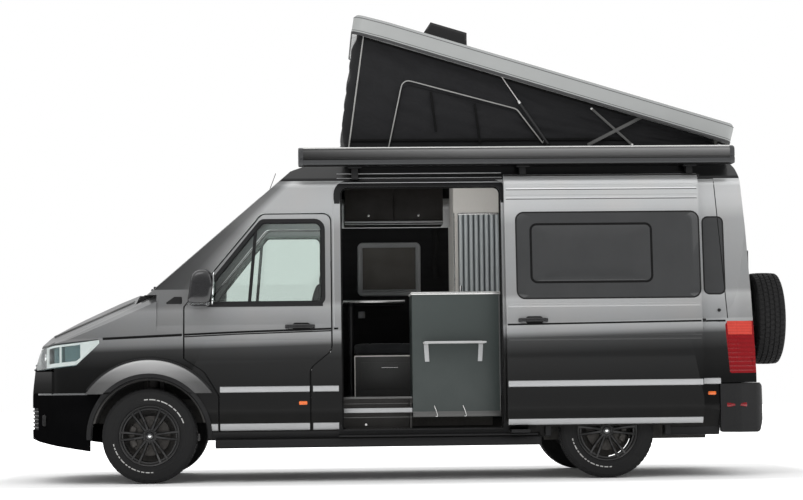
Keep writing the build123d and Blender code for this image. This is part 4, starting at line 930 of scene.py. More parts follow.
def sill_trim(side, word):
    """Black sills; behind the doors, strips, crease, seams, door stop and marker lamp."""
    parts = [strip_on_side(470, 1500, *SILL, side, 5)]
    if side > 0:
        parts.append(strip_on_side(1500, 3170, *SILL, side, 5))
    parts.append(strip_on_side(4110, 4548, *SILL, side, 5, count=16))
    parts.append(brick((520, side * 945, 272), (3110, side * 985, 340), 8))
    piece("sills_" + word, parts, BLACK)
    strips = [strip_on_side(4412, 4556, 738, 788, side, 9, count=16)] if side < 0 else []
    if side > 0:
        strips += [strip_on_side(1505, 3030, 722, 772, side, 9),
            strip_on_side(1505, 3170, 420, 474, side, 10),
            strip_on_side(4255, 4556, 738, 788, side, 9, count=16)]
        # Black strip in the crease: painted shade of its groove
        piece("side_crease_shade_right", [bead(belt_path(1505, 4600, 90), side, 15, 1.6)], SEAM_AND_SHADE)
    else:
        # Black strip in the crease: painted shade of its groove
        piece("rear_crease_shade_left", [bead(belt_path(4406, 4606, 10), side, 15, 1.6)], SEAM_AND_SHADE)
    piece("rear_strips_" + word, strips, TRIM)
    z = np.linspace(1265, 2428, 40)
    post = join(4544 + (2428 - z) * 0.068, z)
    piece("corner_seam_" + word, [bead(post, side, 7, 0.8)], SEAM_AND_SHADE)
    x = np.linspace(1500, 4540, 80) if side > 0 else np.linspace(4412, 4540, 8)
    drip = join(x, 2398.0)
    piece("roof_seam_" + word, [bead(drip, side, 8, 1.0)], SEAM_AND_SHADE)
    stop = lathe(((0, 0.1), (16, 0.1), (16, 9), (13, 13), (0, 14)), (0, 0, 0), "y", 20, False)
    y = side * (float(skin_y(4556.0, 1330.0)) - 2)
    piece("door_stop_" + word, [moved(stop, (4556, y, 1330), side)], BLACK)
    marker = rect(4450, 4515, 653, 681, 7)
    piece("rear_marker_" + word, [dome(marker, beside(side), MARKER_PAD)], AMBER)


def pane_trim(x0, x1, z0, z1, r, side, out, name, inner=None):
    """Bonded dark pane: a black border over the rebate, its own bevelled face and an inner frame line."""
    outline = rect(x0, x1, z0, z1, r, 10)
    place = beside(side, out)
    border = ((9, -8), (9, 0.6), (5, 2.2), (-1, 2.2), (-3, 0.5), (-3, -8))
    piece(name + "_border", [rim(outline, border, place)], SEAL)
    face = ((1, -19), (1, -1.5), (0.996, 0.0), (0.9, 0.0), (0.7, 0.0), (0.4, 0.0), (0.15, 0.0))
    piece(name + "_pane", [dome(outline, lambda o, d: place(o, d + 0.4), face)], DARK_GLASS)
    if inner:
        a0, a1, b0, b1 = inner
        line = ((9, -3), (9, 1.8), (5, 3.0), (-5, 3.0), (-9, 1.8), (-9, -3))
        piece(name + "_vent", [rim(rect(a0, a1, b0, b1, 48, 10), line, place)], SEAM_AND_SHADE)
        piece(name + "_vent_pane", [dome(rect(a0 + 9, a1 - 9, b0 + 9, b1 - 9, 40, 10), place,
            ((1, -6), (1, 1.2), (0.99, 1.8), (0.5, 1.8)))], DARK_GLASS)


def sliding_door_trim():
    """Strips, creases, window, handle and rails of the opened sliding door and the doorway's frame."""
    out, side = SLIDE_OUT, -1
    piece("slide_strips", [strip_on_side(*SLIDE_BAND, 733, 783, side, 9, out),
        strip_on_side(*SLIDE_BAND, 432, 481, side, 10, out)], TRIM)
    # Black strip in the crease: painted shade of its groove
    piece("slide_crease_shade", [bead(belt_path(*SLIDE_BAND, 60), side, 15, 1.6, out)], SEAM_AND_SHADE)
    ridges = [bead([(x, z) for x in SLIDE_RIDGE], side, w, lift, out, count=40)
        for z, w, lift in ((2330, 34, 4.0), (2252, 26, 4.0), (1380, 30, 3.0), (1118, 40, 3.0))]
    piece("slide_ridges", ridges, PAINT)
    # Painted shade: near-black lines just under the two upper ridges and near the door's top edge
    piece("slide_shade_lines", [bead([(x, z) for x in SLIDE_RIDGE], side, 5, 1.2, out, count=40)
        for z in (2308, 2232, 2446)], SEAM_AND_SHADE)
    cup, grip, lock = handle(3046, 1262, side, out)
    piece("slide_handle_cup", [cup], SEAM_AND_SHADE)
    piece("slide_handle", [grip, lock], GLOSS)
    pane_trim(2928, 4392, 1436, 2122, 62, side, out, "slide_window", (3042, 4009, 1563, 2028))
    pane_trim(*QUARTER, side, 0.0, "rear_quarter")
    edge = rounded([(1524, 400, 40), (2817, 400, 40), (2817, 2352, 60), (1524, 2352, 60)])
    place = beside(side)
    piece("doorway_frame", [rim(edge, ((52, -5), (52, 2), (46, 4), (2, 4), (-2, 1), (-2, -30), (2, -30),
        (2, -5)), place)], BLACK)
    piece("doorway_seal", [rim(edge, ((-2, -34), (-2, -46), (-11, -50), (-14, -42), (-10, -33)), place)],
        SEAL)
    rail_y = -(float(skin_y(2000.0, 2396.0)) + 8)
    lines = [bead([(1500, z), (2832, z)], side, wide, 6, count=40)
        for z, wide in ((2466, 8), (2424, 5), (2384, 6))]
    lines.append(bead([(1468, z) for z in (1230, 1800, 2350)], side, 6, 3, count=30))
    piece("doorway_rails", lines, TRIM)
    piece("rail_cover", [brick((2835, rail_y - 70, 2404), (4420, rail_y + 20, 2432), 4),
        brick((1500, -1034, 352), (3080, -1022, 366), 3), brick((4400, -1046, 1236), (4440, -1012, 1262), 4),
        brick((2860, -1118, 372), (3010, -960, 398), 5)], BLACK)
    piece("door_step", [brick((1536, -1012, 400), (2806, -905, 412), 4)], BLACK)
    ribs = [brick((1560 + 26 * i, -1000, 411), (1572 + 26 * i, -915, 414.5), 1.4, 1) for i in range(20)]
    piece("door_step_ribs", ribs, GLOSS, smooth=False)
    piece("threshold_strip", [brick((1540, -906, 540), (2088, -896, 576), 3)], TRIM)
    piece("step_risers", [brick((1540, -898, 610), (2088, -890, 614), 1.5),
        brick((1540, -900, 500), (2088, -892, 506), 2), brick((1536, -910, 650), (2088, -878, 668), 4)],
        BAR_GREY)
    bolt = lathe(((-4, 9), (2, 9), (4, 7), (4, 0.1), (-4, 0.1)), (1716, -908, 446), "y", 16, True)
    piece("step_bolt", [bolt], BARE)


for side, word in SIDES:
    cab_side(side, word)
    wheel_arches(side, word)
    sill_trim(side, word)
sliding_door_trim()
for k, (x0, x1, z0, z1) in enumerate(((1620, 2400, 1500, 2060), (2950, 4350, 1480, 2080))):
    pane_trim(x0 - 8, x1 + 8, z0 - 8, z1 + 8, 92, 1, 0.0, f"right_window_{k + 1}",
        (x0 + 90, x1 - 90, z0 + 80, z1 - 70))
pane_trim(*QUARTER, 1, 0.0, "right_rear_quarter")


# ---- wheels -------------------------------------------------------------------------------
SPARE = (5032.4, -420, 1275)     # the spare wheel's middle


def wheel_place(x, side):
    """Puts wheel coordinates (outwards, along the car, up) at a hub."""
    return lambda p: join(x + p[..., 1], side * (HALF_TRACK + p[..., 0]), AXLE_Z + p[..., 2])


def spare_place(p):
    """Puts wheel coordinates at the spare wheel, whose outer face looks to the rear."""
    return join(SPARE[0] + p[..., 0], SPARE[1] - p[..., 1], SPARE[2] + p[..., 2])


def around(profile, place, count=96, wrap=True):
    """Wheel part: a profile of (outwards, radius) turned about the hub."""
    a, r = np.asarray(profile, float).T
    t = np.linspace(0, 2 * math.pi, count, endpoint=False)[:, None]
    points = join(a, r * np.cos(t), r * np.sin(t))
    return grid_part(place(points), wrap_rows=True, wrap_columns=wrap)


def tyre(place, blocks=54):
    """Tyre with four grooves and cut tread blocks.

    A closed section is turned about the hub; where a cut crosses a rib, radius = section radius - depth,
    and the cuts of neighbouring ribs are half a block apart.
    """
    ribs = [(-98, -66), (-57, -24), (-16, 16), (24, 57), (66, 98)]
    a, r, cut = [], [], []
    for k, (u, v) in enumerate(ribs):
        crown = lambda at: TYRE_RADIUS - 5.2 * abs(at / 98) ** 2.6
        for at, deep in ((u - 1.5, 9), (u + 1.5, 0), ((u + v) / 2, 0), (v - 1.5, 0), (v + 1.5, 9)):
            a.append(at)
            r.append(crown(at) - (deep if abs(at) < 97 else 3))
            cut.append((1 + k % 2) if deep == 0 else 0)
    wall = ((106, 366, 1), (111, 352, 1), (114.5, 348, 0), (116.2, 322, 0), (117.0, 300, 0), (117.0, 292, 0),
        (115.9, 290, 0), (115.9, 284, 0), (116.6, 282, 0), (115, 266, 0), (111, 258, 0), (112, 253, 0),
        (108, 246, 0), (96, 236, 0))
    out, radius, cut = (np.array([sign * w[k] for w in reversed(wall)] + middle + [w[k] for w in wall])
        for k, sign, middle in ((0, -1, a), (1, 1, r), (2, 1, cut)))
    count = blocks * 4
    step = np.arange(count)[:, None]
    radius = radius - np.where(((step + cut * 2) % 4 == 0) & (cut > 0), 7.0, 0.0)
    t = step * 2 * math.pi / count
    points = join(out, radius * np.cos(t), radius * np.sin(t))
    return grid_part(place(points), wrap_rows=True, wrap_columns=True)


def sidewall_marks(place):
    """Plain raised blocks on the sidewall in two arcs, in place of lettering."""
    made = []
    for first, last, shares in ((98, 18, (5, 8, 4, 9, 6, 5, 8, 7)),
            (192, 278, (3, 3, 6, 3, 7, 3, 3, 6, 4, 4, 5, 3))):
        run, total = 0.0, sum(shares) + 1.7 * len(shares)
        for share in shares:
            t = np.radians(first + (last - first) * (run + np.linspace(0, share, 6)) / total)
            ring = np.array(((115.0, 284), (117.0, 284), (117.0, 288), (117.0, 294), (115.0, 294)))
            points = join(ring[:, 0], np.cos(t)[:, None] * ring[:, 1], np.sin(t)[:, None] * ring[:, 1])
            made.append(closed_bar(place(points)))
            run += share + 1.7
    return made


def spoke(angle, place):
    """One arm of a twin spoke: a rounded bar from the hub to the barrel, dished and widening at both ends."""
    t = np.linspace(0, 1, 12)
    r = 50 + 176 * t
    out = 66 - 22 * np.sin(math.pi * t) ** 1.2 + 26 * t ** 2
    turn = angle + 0.045 * (1 - t) * np.sign(math.sin(angle * 6 + 0.3))
    wide = 11 + 3 * (2 * t - 1) ** 2
    ring = np.array(((-1, -1), (-1, 0.4), (-0.6, 1), (0.6, 1), (1, 0.4), (1, -1)))
    across = ring[:, 0] * wide[:, None]
    deep = out[:, None] + ring[:, 1] * 12
    c, s = np.cos(turn)[:, None], np.sin(turn)[:, None]
    points = join(deep, r[:, None] * c - across * s, r[:, None] * s + across * c)
    return closed_bar(place(points))


def wheel(place, name, body, shown):
    """Rim with six twin spokes, nuts and cap, its tyre and a brake disc."""
    piece(name + "_tyre_tread", [tyre(place)], RUBBER, (name + "_tyre",), angle=32, body=body)
    if shown:
        piece(name + "_tyre_marks", sidewall_marks(place), MARK, body=body)
    barrel = ((104, 241), (108, 236), (104, 228), (96, 222), (60, 216), (-60, 214), (-96, 224), (-104, 232),
        (-104, 241), (-98, 243), (-60, 224), (60, 226), (98, 243))
    hub = ((20, 62), (52, 66), (64, 60), (66, 42), (66, 34), (58, 33), (20, 33))
    step = math.pi / 3
    arms = [spoke(k * step + off, place) for k in range(6) for off in (-0.135, 0.135)]
    webs = [around(((86, 226), (92, 219), (92, 208), (84, 208)), place, 72)]
    piece(name + "_alloy", [around(barrel, place), around(hub, place, 48)] + arms + webs, WHEEL,
        (name + "_rim",), body=body)
    line = [around(((103.5, 240), (107.5, 238.8), (108.6, 237.5), (107.2, 236.2), (104, 236)), place)]
    piece(name + "_rim_line", line, BAR_GREY, body=body)
    cap = around(((60, 0.1), (60, 32), (69, 32), (73, 28), (74.5, 14), (75, 0.1)), place, 32, False)
    dot = around(((75, 0.1), (75, 13), (77, 12), (77.6, 0.1)), place, 24, False)
    nuts, t = [], np.arange(6) * step + step / 2
    hexagon = join(np.cos(np.arange(6) * step), np.sin(np.arange(6) * step))
    for k in t:
        rows = [join(a, 48 * math.cos(k) + hexagon[:, 0] * r, 48 * math.sin(k) + hexagon[:, 1] * r)
            for a, r in ((62, 9), (74, 9), (77, 6.5))]
        nuts.append(closed_bar(place(np.array(rows))))
    piece(name + "_cap", [cap], GLOSS, body=body)
    piece(name + "_cap_dot", [dot], CHROME, body=body)
    piece(name + "_nuts", nuts, DARK_STEEL, smooth=False, body=body)
    disc = [around(((8, 60), (8, 158), (0, 158), (0, 60)), place, 64),
        around(((-14, 60), (-14, 158), (-22, 158), (-22, 60)), place, 64)]
    if "spare" not in name:
        shield = around(((-34, 62), (-34, 207), (-37, 207), (-37, 62)), place, 64)
        piece(name + "_dust_shield", [shield], UNDER, body=body)
        piece(name + "_brake_disc", disc, CAST, body=body)


def calipers():
    """Brake calipers: curved blocks over the discs, fixed to the knuckles and the rear axle."""
    for side, word in SIDES:
        for x, end in ((0, "front"), (WHEELBASE, "rear")):
            place = wheel_place(x, side)
            t = np.radians(np.linspace(150, 215, 12)) if end == "front" else np.radians(np.linspace(-35, 30,
                12))
            ring = np.array(((-42, 118), (26, 118), (34, 128), (34, 160), (26, 172), (-42, 172)))
            points = join(ring[:, 0], np.cos(t)[:, None] * ring[:, 1], np.sin(t)[:, None] * ring[:, 1])
            part = closed_bar(place(points))
            piece(f"{word}_{end}_caliper", [part], CAST, bevel=3,
                body=f"{word}_steering_knuckle" if end == "front" else VAN)


for side, word in SIDES:
    for x, end in ((0, "front"), (WHEELBASE, "rear")):
        wheel(wheel_place(x, side), f"{word}_{end}", f"{word}_{end}_wheel", True)
wheel(spare_place, "spare", "left_tail_door", False)
calipers()


# ---- mirrors ------------------------------------------------------------------------------
def mirror(side, word):
    """Tall housing on a short arm, with two glasses behind and a clear lamp strip low on it."""
    door = f"{word}_cab_door"
    outline = even(rounded([(306, 1392, 55), (492, 1386, 60), (527, 1560, 120), (500, 1688, 62),
        (352, 1688, 85)], steps=8), 56, True)
    place = lambda o, y: join(o[:, 0], side * float(y), o[:, 1])
    centre = (436, 1536)
    shares = ((0.70, 1062), (0.86, 1066), (0.95, 1078), (0.99, 1100), (1.0, 1130), (0.99, 1160),
        (0.955, 1184), (0.89, 1201), (0.78, 1210), (0.6, 1213.5), (0.3, 1214.5))
    piece(f"{word}_mirror_housing", [dome(outline, place, shares, centre)], GLOSS,
        (f"{word}_mirror",), subdivide=1, body=door)
    arm = sweep([(425, side * y, 1420 + 0.02 * (y - 960)) for y in np.linspace(965, 1085, 12)],
        ((-34, -17), (-34, 10), (-24, 18), (24, 18), (34, 10), (34, -17)), (0, 0, 1))
    foot = dome(rect(382, 470, 1398, 1446, 20), beside(side), ((1, -6), (1, 8), (0.86, 16), (0.5, 18)))
    piece(f"{word}_mirror_arm", [arm, foot], BLACK, body=door)
    face = lambda o, d: join(520 + d + 0.05 * (o[:, 1] - 1540), side * o[:, 0], o[:, 1])
    for k, (z0, z1) in enumerate(((1478, 1664), (1404, 1464))):
        glass = rect(1084, 1196, z0, z1, 26)
        piece(f"{word}_mirror_glass_{k + 1}", [dome(glass, face,
            ((1, -6), (1, 0.8), (0.98, 1.4), (0.5, 1.4)))], CHROME, body=door)
    strip = [(x, side * 1209, 1412 + 0.02 * (x - 320)) for x in np.linspace(318, 496, 16)]
    piece(f"{word}_mirror_lamp", [sweep(strip, hump(15, 4), (0, side, 0))], CLEAR, body=door)


for side, word in SIDES:
    mirror(side, word)


# ---- nose ---------------------------------------------------------------------------------
_NOSE_LINE = even(_NOSE_PLAN, 900)
_LAMP_RUN = even(_NOSE_LINE[(_NOSE_LINE[:, 1] >= 434) & (_NOSE_LINE[:, 0] <= -368)], 64)
_BUMPER_PLAN = half_of([(4930, 880, 160), (4700, 1010, 120), (4200, 1022, 0)])


def lamp_face(s, t, depth):
    """Points of the headlamp's face: s runs from the grille to its rear tip, t from its lower edge up.

    The face follows the nose's plan, leans back with its side view, and lies depth millimetres inside.
    """
    dx, dy = np.gradient(_LAMP_RUN[:, 0]), np.gradient(_LAMP_RUN[:, 1])
    size, step = np.hypot(dx, dy), np.arange(len(_LAMP_RUN))
    x, y, nx, ny = (np.interp(s * step[-1], step, row) for row in (*_LAMP_RUN.T, dy / size, -dx / size))
    low = np.interp(x, (-1100, -580, -368), (893, 940, 1136))
    high = np.interp(x, (-1100, -770, -368), (1024, 1106, 1146))
    z = low + (high - low) * t
    sign = np.where(nx > 0, -1, 1)
    face = np.maximum(x, read(_NOSE_TOP, z, 1))
    y = np.minimum(y, nose_y(np.maximum(face, -990), z))
    return join(face - sign * nx * depth, y - sign * ny * depth, z)


def lamp_layer(s0, s1, t0, t1, near, far, rows=40, columns=10):
    """Closed leaf of the headlamp between two depths."""
    s, t = grid(s0, s1, rows, t0, t1, columns)
    return leaf(lamp_face(s, t, near), lamp_face(s, t, far))


def headlamps():
    """Clear lenses over a bowl, two projectors a side, a dark cowl and pale light guides."""
    lens, guide, bowl, rings, balls, cowls = [], [], [], [], [], []
    for side, _ in SIDES:
        lens.append(moved(lamp_layer(0.0, 1.0, 0, 1, 1.0, 4.0), side=side))
        guide += [moved(lamp_layer(a, b, c, d, 7, 14), side=side)
            for a, b, c, d in ((0.38, 0.97, 0.03, 0.20), (0.38, 0.97, 0.88, 0.97), (0.38, 0.43, 0.20, 0.88),
            (0.80, 0.97, 0.20, 0.88), (0.60, 0.62, 0.20, 0.88))]
        bowl.append(moved(lamp_layer(0.0, 0.98, 0.0, 1.0, 34, 48), side=side))
        cowls.append(moved(lamp_layer(0.0, 0.37, 0.02, 0.98, 9, 16), side=side))
        for y, z, x, r in ((560, 992, -880, 40), (700, 1010, -822, 46)):
            rings.append(lathe(((-26, r), (-30, r - 4), (-20, r - 9), (20, r - 20), (30, 0.1), (36, 0.1),
                (24, r - 10)), (x, side * y, z), "x", 32))
            balls.append(lathe(((-8, 0.1), (-7, 0.3 * r), (-2, 0.55 * r), (8, 0.62 * r), (14, 0.55 * r),
                (14, 0.1)), (x, side * y, z), "x", 24, False))
    piece("headlamp_lenses", lens, CLEAR, ("headlights",))
    piece("headlamp_guides", guide, LAMP_WHITE)
    piece("headlamp_cowls", cowls, GLOSS)
    piece("headlamp_bowls", bowl, LAMP_TEAL)
    piece("headlamp_rings", rings, CHROME)
    piece("headlamp_projectors", balls, CLEAR)


def across_nose(y0, y1, z, out, profile, count=40):
    """Bar along the nose's front at a height, standing out from it."""
    y = np.linspace(y0, y1, count)
    path = join(nose_x(y, float(z)) - out, y, float(z))
    return sweep(path, profile)


def nose_trim():
    """Grille, bumper intake, fog lamps, blank plate, bonnet ridges, windscreen edge, wipers and aerial."""
    flat = np.array(((-7, -5), (-9, 0), (-7, 5), (5, 6), (8, 0), (5, -6)))
    piece("grille_slats", [across_nose(-412, 412, z, 1, flat * (1.2, 1.3))
        for z in (912, 948, 984, 1020, 1052)], GLOSS)
    bars = []
    for y in np.linspace(-400, 400, 41):
        z = np.linspace(900, 1060, 5)
        path = join(nose_x(y, z) + 1, y, z)
        bars.append(sweep(path, ((-2, -4), (-2, 4), (2, 4), (2, -4)), (1, 0, 0)))
    piece("grille_mesh", bars, BLACK)
    piece("grille_line", [across_nose(-418, 418, 1063, 3, flat * (0.7, 0.6))], BARE)
    y, z = grid(-560, 560, 60, 420, 600, 8)
    face = join(nose_x(y, z) + 12.4, y, z)
    piece("bumper_intake", [leaf(face, face + (8, 0, 0))], SEAM_AND_SHADE)
    piece("bumper_slats", [across_nose(-556, 556, h, -8, flat * (0.8, 1.0))
        for h in (448, 480, 512, 544, 576)], BLACK)
    grey = []
    for side, word in SIDES:
        run = _NOSE_LINE[(_NOSE_LINE[:, 0] < -490) & (_NOSE_LINE[:, 1] > 560)]
        path = even(join(run[:, 0], side * run[:, 1], 715.0), 40)
        grey.append(sweep(path, np.array(((-6, -7), (1, -7), (2, 0), (1, 7), (-6, 7))) * (-side, 1)))
        fog = lathe(((-6, 0.1), (-6, 34), (-10, 42), (2, 48), (20, 48), (20, 0.1)), (0, 0, 0), "x", 28, False)
        at = (float(nose_x(720.0, 505.0)) - 2, side * 720, 505)
        piece(f"fog_surround_{word}", [moved(fog, at)], BLACK)
        glass = lathe(((-13, 0.1), (-12, 20), (-8, 33), (0, 33), (0, 0.1)), at, "x", 28, False)
        piece(f"fog_lens_{word}", [glass], CLEAR)
    piece("bumper_grey_line", grey, FLARE)
    y, z = grid(-260, 260, 24, 705, 815, 8)
    plate = join(nose_x(y, z) - 1.5, y, z)
    piece("front_plate_blank", [leaf(plate, plate + (7, 0, 0))], MARK)
    ridges = []
    for side in (-1, 1):
        x = np.linspace(-800, -140, 40)
        y = side * (470 + 150 * ((x + 800) / 660))
        ridges.append(sweep(join(x, y, nose_z(x, y) - 1), hump(70, 7), (0, 0, 1)))
    piece("bonnet_ridges", ridges, PAINT, body="bonnet_lid")
    frit = [(838, 1500, 60), (758, 2290, 90)]
    outline = rounded(frit + [(-y, z, r) for y, z, r in reversed(frit)], steps=10)
    on_screen = lambda o, d: join(screen_x(o[:, 1], o[:, 0]) - 1.54 * d, o[:, 0], o[:, 1])
    piece("screen_border", [rim(outline, ((-52, -13.5), (-52, -11.4), (1, -11.4), (1, -13.5)), on_screen)],
        GLOSS)
    piece("screen_seal", [rim(outline, ((-4, -12), (-2, -3), (3, 1.2), (8, 1.2), (8, -10)), on_screen)], SEAL)
    arms = []
    for start, end in ((-60, -700), (560, -80)):
        y = np.linspace(start, end, 24)
        z = 1546 + 30 * np.sin(np.linspace(0.2, 2.6, 24))
        arms.append(sweep(join(screen_x(z, y) - 6, y, z), hump(16, 5, 5), (1, 0, 0)))
        y = np.linspace(end + 120, end - 20, 12)
        arms.append(tube(join(screen_x(1560, y) - 20, y, 1548), 6, 8, (1, 0, 0)))
    piece("wipers", arms, BLACK)
    y = np.linspace(-760, 760, 60)
    cowl = [sweep(join(screen_x(1508, y) - 12, y, 1504 - 0.00001 * y ** 2), hump(24, 5, 3), (0, 0, 1))]
    piece("cowl_cover", cowl, BLACK)
    base = lathe(((0, 22), (9, 19), (14, 12), (16, 0.1), (0, 0.1)), (930, 0, 2371), "z", 24, False)
    rod = tube([(926 + 68 * t, 0, 2378 + 178 * t) for t in np.linspace(0, 1, 10)], 2.6, 8, (0, 1, 0))
    piece("roof_aerial", [base, rod], BLACK)


# ---- tail ---------------------------------------------------------------------------------
def on_tail(o, d):
    """Points (y, z) put on the rear face, d outwards."""
    return join(tail_x(o[..., 0], o[..., 1]) + d, o[..., 0], o[..., 1])


WRAP = 0.62                      # share of a tail lamp's run that lies along the body side


def tail_trim():
    """Rear doors' windows, handle, hinges and blank plate; all tail lamps; bumper step and reflectors."""
    for side, word in SIDES:
        door = f"{word}_tail_door"
        hole = rounded([(side * 130, 1500, 60), (side * 740, 1500, 60), (side * 715, 2080, 60),
            (side * 130, 2080, 60)])
        border = ((14, -4), (14, 0.8), (8, 2.6), (-4, 2.6), (-7, 0), (-7, -24), (0, -24))
        piece(f"{word}_tail_window_border", [rim(hole, border, on_tail)], SEAL, body=door)
        pane = ((1, -19), (1, -1.0), (0.99, 0.4), (0.7, 0.4), (0.3, 0.4))
        piece(f"{word}_tail_window", [dome(hole, on_tail, pane)], DARK_GLASS, body=door)
        hinges = []
        for z in (1010, 1500, 2050):
            hinges.append(tube([(float(tail_x(side * 852.0, float(z))) + 4, side * 848, z + k)
                for k in (-38, 0, 38)], 10, 12, (1, 0, 0)))
            hinges.append(dome(rect(side * 770, side * 846, z - 24, z + 24, 8), on_tail,
                ((1, -4), (1, 5), (0.95, 7), (0.5, 7))))
        piece(f"{word}_tail_hinges", hinges, BLACK, body=door)
        for name, finish, depth, v0, v1 in (("tail_lens_", RED, 1.5, 0, 0.72),
                ("tail_lens_top_", PINK, 1.8, 0.735, 1)):
            wrap, v = grid(0, 1, 18, v0, v1, 20)
            height = 832 + 410 * v
            front = 4616 + 30 * (1 - v)
            half = np.minimum(skin_y(4650.0, height), 1020)
            corner_x = tail_x(880.0, height)
            at_y = np.where(wrap < WRAP, half, half - (half - 884) * ((wrap - WRAP) / (1 - WRAP)))
            at_x = np.where(wrap < WRAP, front + (corner_x - 18 - front) * wrap / WRAP, tail_x(at_y, height))
            at_y = np.where(wrap < WRAP, skin_y(at_x, height), at_y)
            shell = join(at_x + depth * (wrap > 0.55), side * (at_y + depth * (wrap < 0.7)), height)
            back = join(at_x - 8 * (wrap > 0.55), side * (at_y - 8), height)
            piece(name + word, [leaf(shell, back)], finish)
        mark = rect(4600, 4770, 556, 588, 9)
        place = lambda o, d: join(o[:, 0], side * (read(_BUMPER_PLAN, o[:, 0]) + d), o[:, 1])
        piece(f"side_reflector_{word}", [dome(mark, place, ((1, -8), (1, 2), (0.95, 3.5), (0.5, 3.5)))], RED)
        rear = rect(*sorted((side * 540, side * 740)), 500, 528, 9)
        place = lambda o, d: np.column_stack((np.full(len(o), 4925.5 + d), o))
        piece(f"rear_reflector_{word}", [dome(rear, place, ((1, -8), (1, 3), (0.95, 4), (0.5, 4)))], RED)
    middle = join(0.0, np.linspace(812, 2412, 30))
    path = on_tail(middle, -6)
    piece("tail_seam", [sweep(path, ((-4, -4), (4, -4), (4, 4), (-4, 4)), (0, 1, 0))], SEAL,
        body="left_tail_door")
    plate = rect(90, 610, 985, 1097, 8)
    piece("rear_plate_blank", [dome(plate, on_tail, ((1, -4), (1, 5), (0.995, 6), (0.5, 6)))], MARK,
        body="right_tail_door")
    piece("rear_plate_lamp", [dome(rect(190, 510, 1108, 1138, 10), on_tail,
        ((1, -4), (1, 16), (0.95, 20), (0.5, 20)))], BLACK, body="right_tail_door")
    grip = [(float(tail_x(40.0, z)) + 6 + 24 * (1 - ((z - 1250) / 90) ** 4), 46, z)
        for z in np.linspace(1160, 1340, 20)]
    piece("tail_handle", [sweep(grip, ((-12, -5), (-12, 4), (-7, 8), (7, 8), (12, 4), (12, -5)), (1, 0, 0)),
        dome(rect(22, 92, 1195, 1305, 30), on_tail, CUP_PAD)], GLOSS, body="right_tail_door")
    brake = rounded([(-190, 2492, 10), (190, 2492, 10), (190, 2516, 10), (-190, 2516, 10)])
    piece("high_brake_lamp", [dome(brake, on_tail, ((1, -6), (1, 4), (0.97, 6), (0.5, 6)))], RED)
    ribs = [brick((4790, y, 741), (4905, y + 12, 746.5), 2, 1) for y in np.arange(-840, 840, 26)]
    piece("bumper_step_ribs", ribs, BLACK, smooth=False)


for side, word in SIDES:
    joint = join(-770.0, np.linspace(716, 893, 20))
    piece(f"bumper_joint_{word}", [bead(joint, side, 25, 0.8)], PAINT)
    piece(f"bumper_joint_line_{word}", [bead(joint, side, 4, 1.5)], SEAM_AND_SHADE)
headlamps()
nose_trim()
tail_trim()


# ---- awning -------------------------------------------------------------------------------
def awning():
    """Cassette awning: a grooved case between two end caps, a bright top line, and feet on the roof."""
    outline = rounded([(1092, 2504, 12), (1097, 2530, 10), (1097, 2552, 4), (1091, 2556, 3), (1091, 2562, 3),
        (1097, 2566, 4), (1095, 2638, 34), (1040, 2655, 20), (962, 2656, 14), (952, 2640, 10),
        (950, 2516, 16), (985, 2504, 10)])
    inner = grown(outline, -3.0)
    body = sweep([(x, 0, 0) for x in (1230, 1232, 2900, 4652, 4654)], inner)
    piece("awning_body", [body], ANODISED, ("awning_case",))
    line = sweep([(x, -1084.5, 2646) for x in (1232, 2900, 4652)], ring_profile(5.5, 12))
    lip = sweep([(x, 0, 0) for x in (1234, 2900, 4650)],
        rounded([(1088, 2506, 4), (1096, 2520, 4), (1096.5, 2548, 4), (1088, 2550, 2)]))
    piece("awning_bright_line", [line], BARE)
    piece("awning_lead_bar", [lip], ANODISED_DARK)
    caps = []
    for x0, x1 in ((1193, 1233), (4690, 4651)):
        rows = [join(x0 + (x1 - x0) * at, -grown(outline, -by)[:, 0], grown(outline, -by)[:, 1])
            for at, by in ((0, 14), (0.02, 8), (0.08, 3.5), (0.2, 1), (0.35, 0.2), (0.94, 0.2), (1.0, 1.5))]
        caps.append(closed_bar(rows))
    piece("awning_caps", caps, ANODISED_DARK)
    feet, screws = [], []
    for x in (1600, 2950, 4300):
        feet += [brick((x, -972, 2525), (x + 90, -715, 2545), 4),
            brick((x + 18, -952, 2410), (x + 72, -880, 2535), 6),
            brick((x - 8, -1000, 2496), (x + 98, -930, 2507), 3)]
        for dx in (25, 65):
            screws.append(lathe(((0, 0.1), (0, 7), (4, 7), (5.5, 4), (5.5, 0.1)), (x + dx, -800, 2545), "z",
                12, False))
    piece("awning_feet", feet, BLACK)
    piece("awning_screws", screws, BARE)


# ---- lifting roof -------------------------------------------------------------------------
def pop_outline(z):
    """Closed lifting roof in plan at a height of its closed place; its front leans forward with height."""
    plan = rounded([(1470, -700, 140), (1755, -760, 500), (4735, -740, 70), (4735, 740, 70), (1755, 760, 500),
        (1470, 700, 140)], steps=10)
    rise = (z - 2712) / 158
    return join(np.clip(plan[:, 0], 1495 - 20 * rise, 4735 - 10 * rise), plan[:, 1])


def pop_band(z0, z1, proud):
    """Raised band round the lifting roof between two heights of its closed place."""
    share = np.array((0, 0.12, 0.5, 0.88, 1.0, 1.0, 0.0))
    out = np.array((0.2, 0.85, 1, 0.85, 0.2, -4 / proud, -4 / proud)) * proud
    heights = z0 + (z1 - z0) * share
    rows = [level(grown(pop_outline(z), float(o)), z) for z, o in zip(heights, out)]
    return turned(grid_part(np.array(rows), wrap_rows=True, wrap_columns=True))


VENT_X, VENT_LEAN = 2255.0, math.tan(math.radians(16))      # roof vent's middle; its walls' inward lean


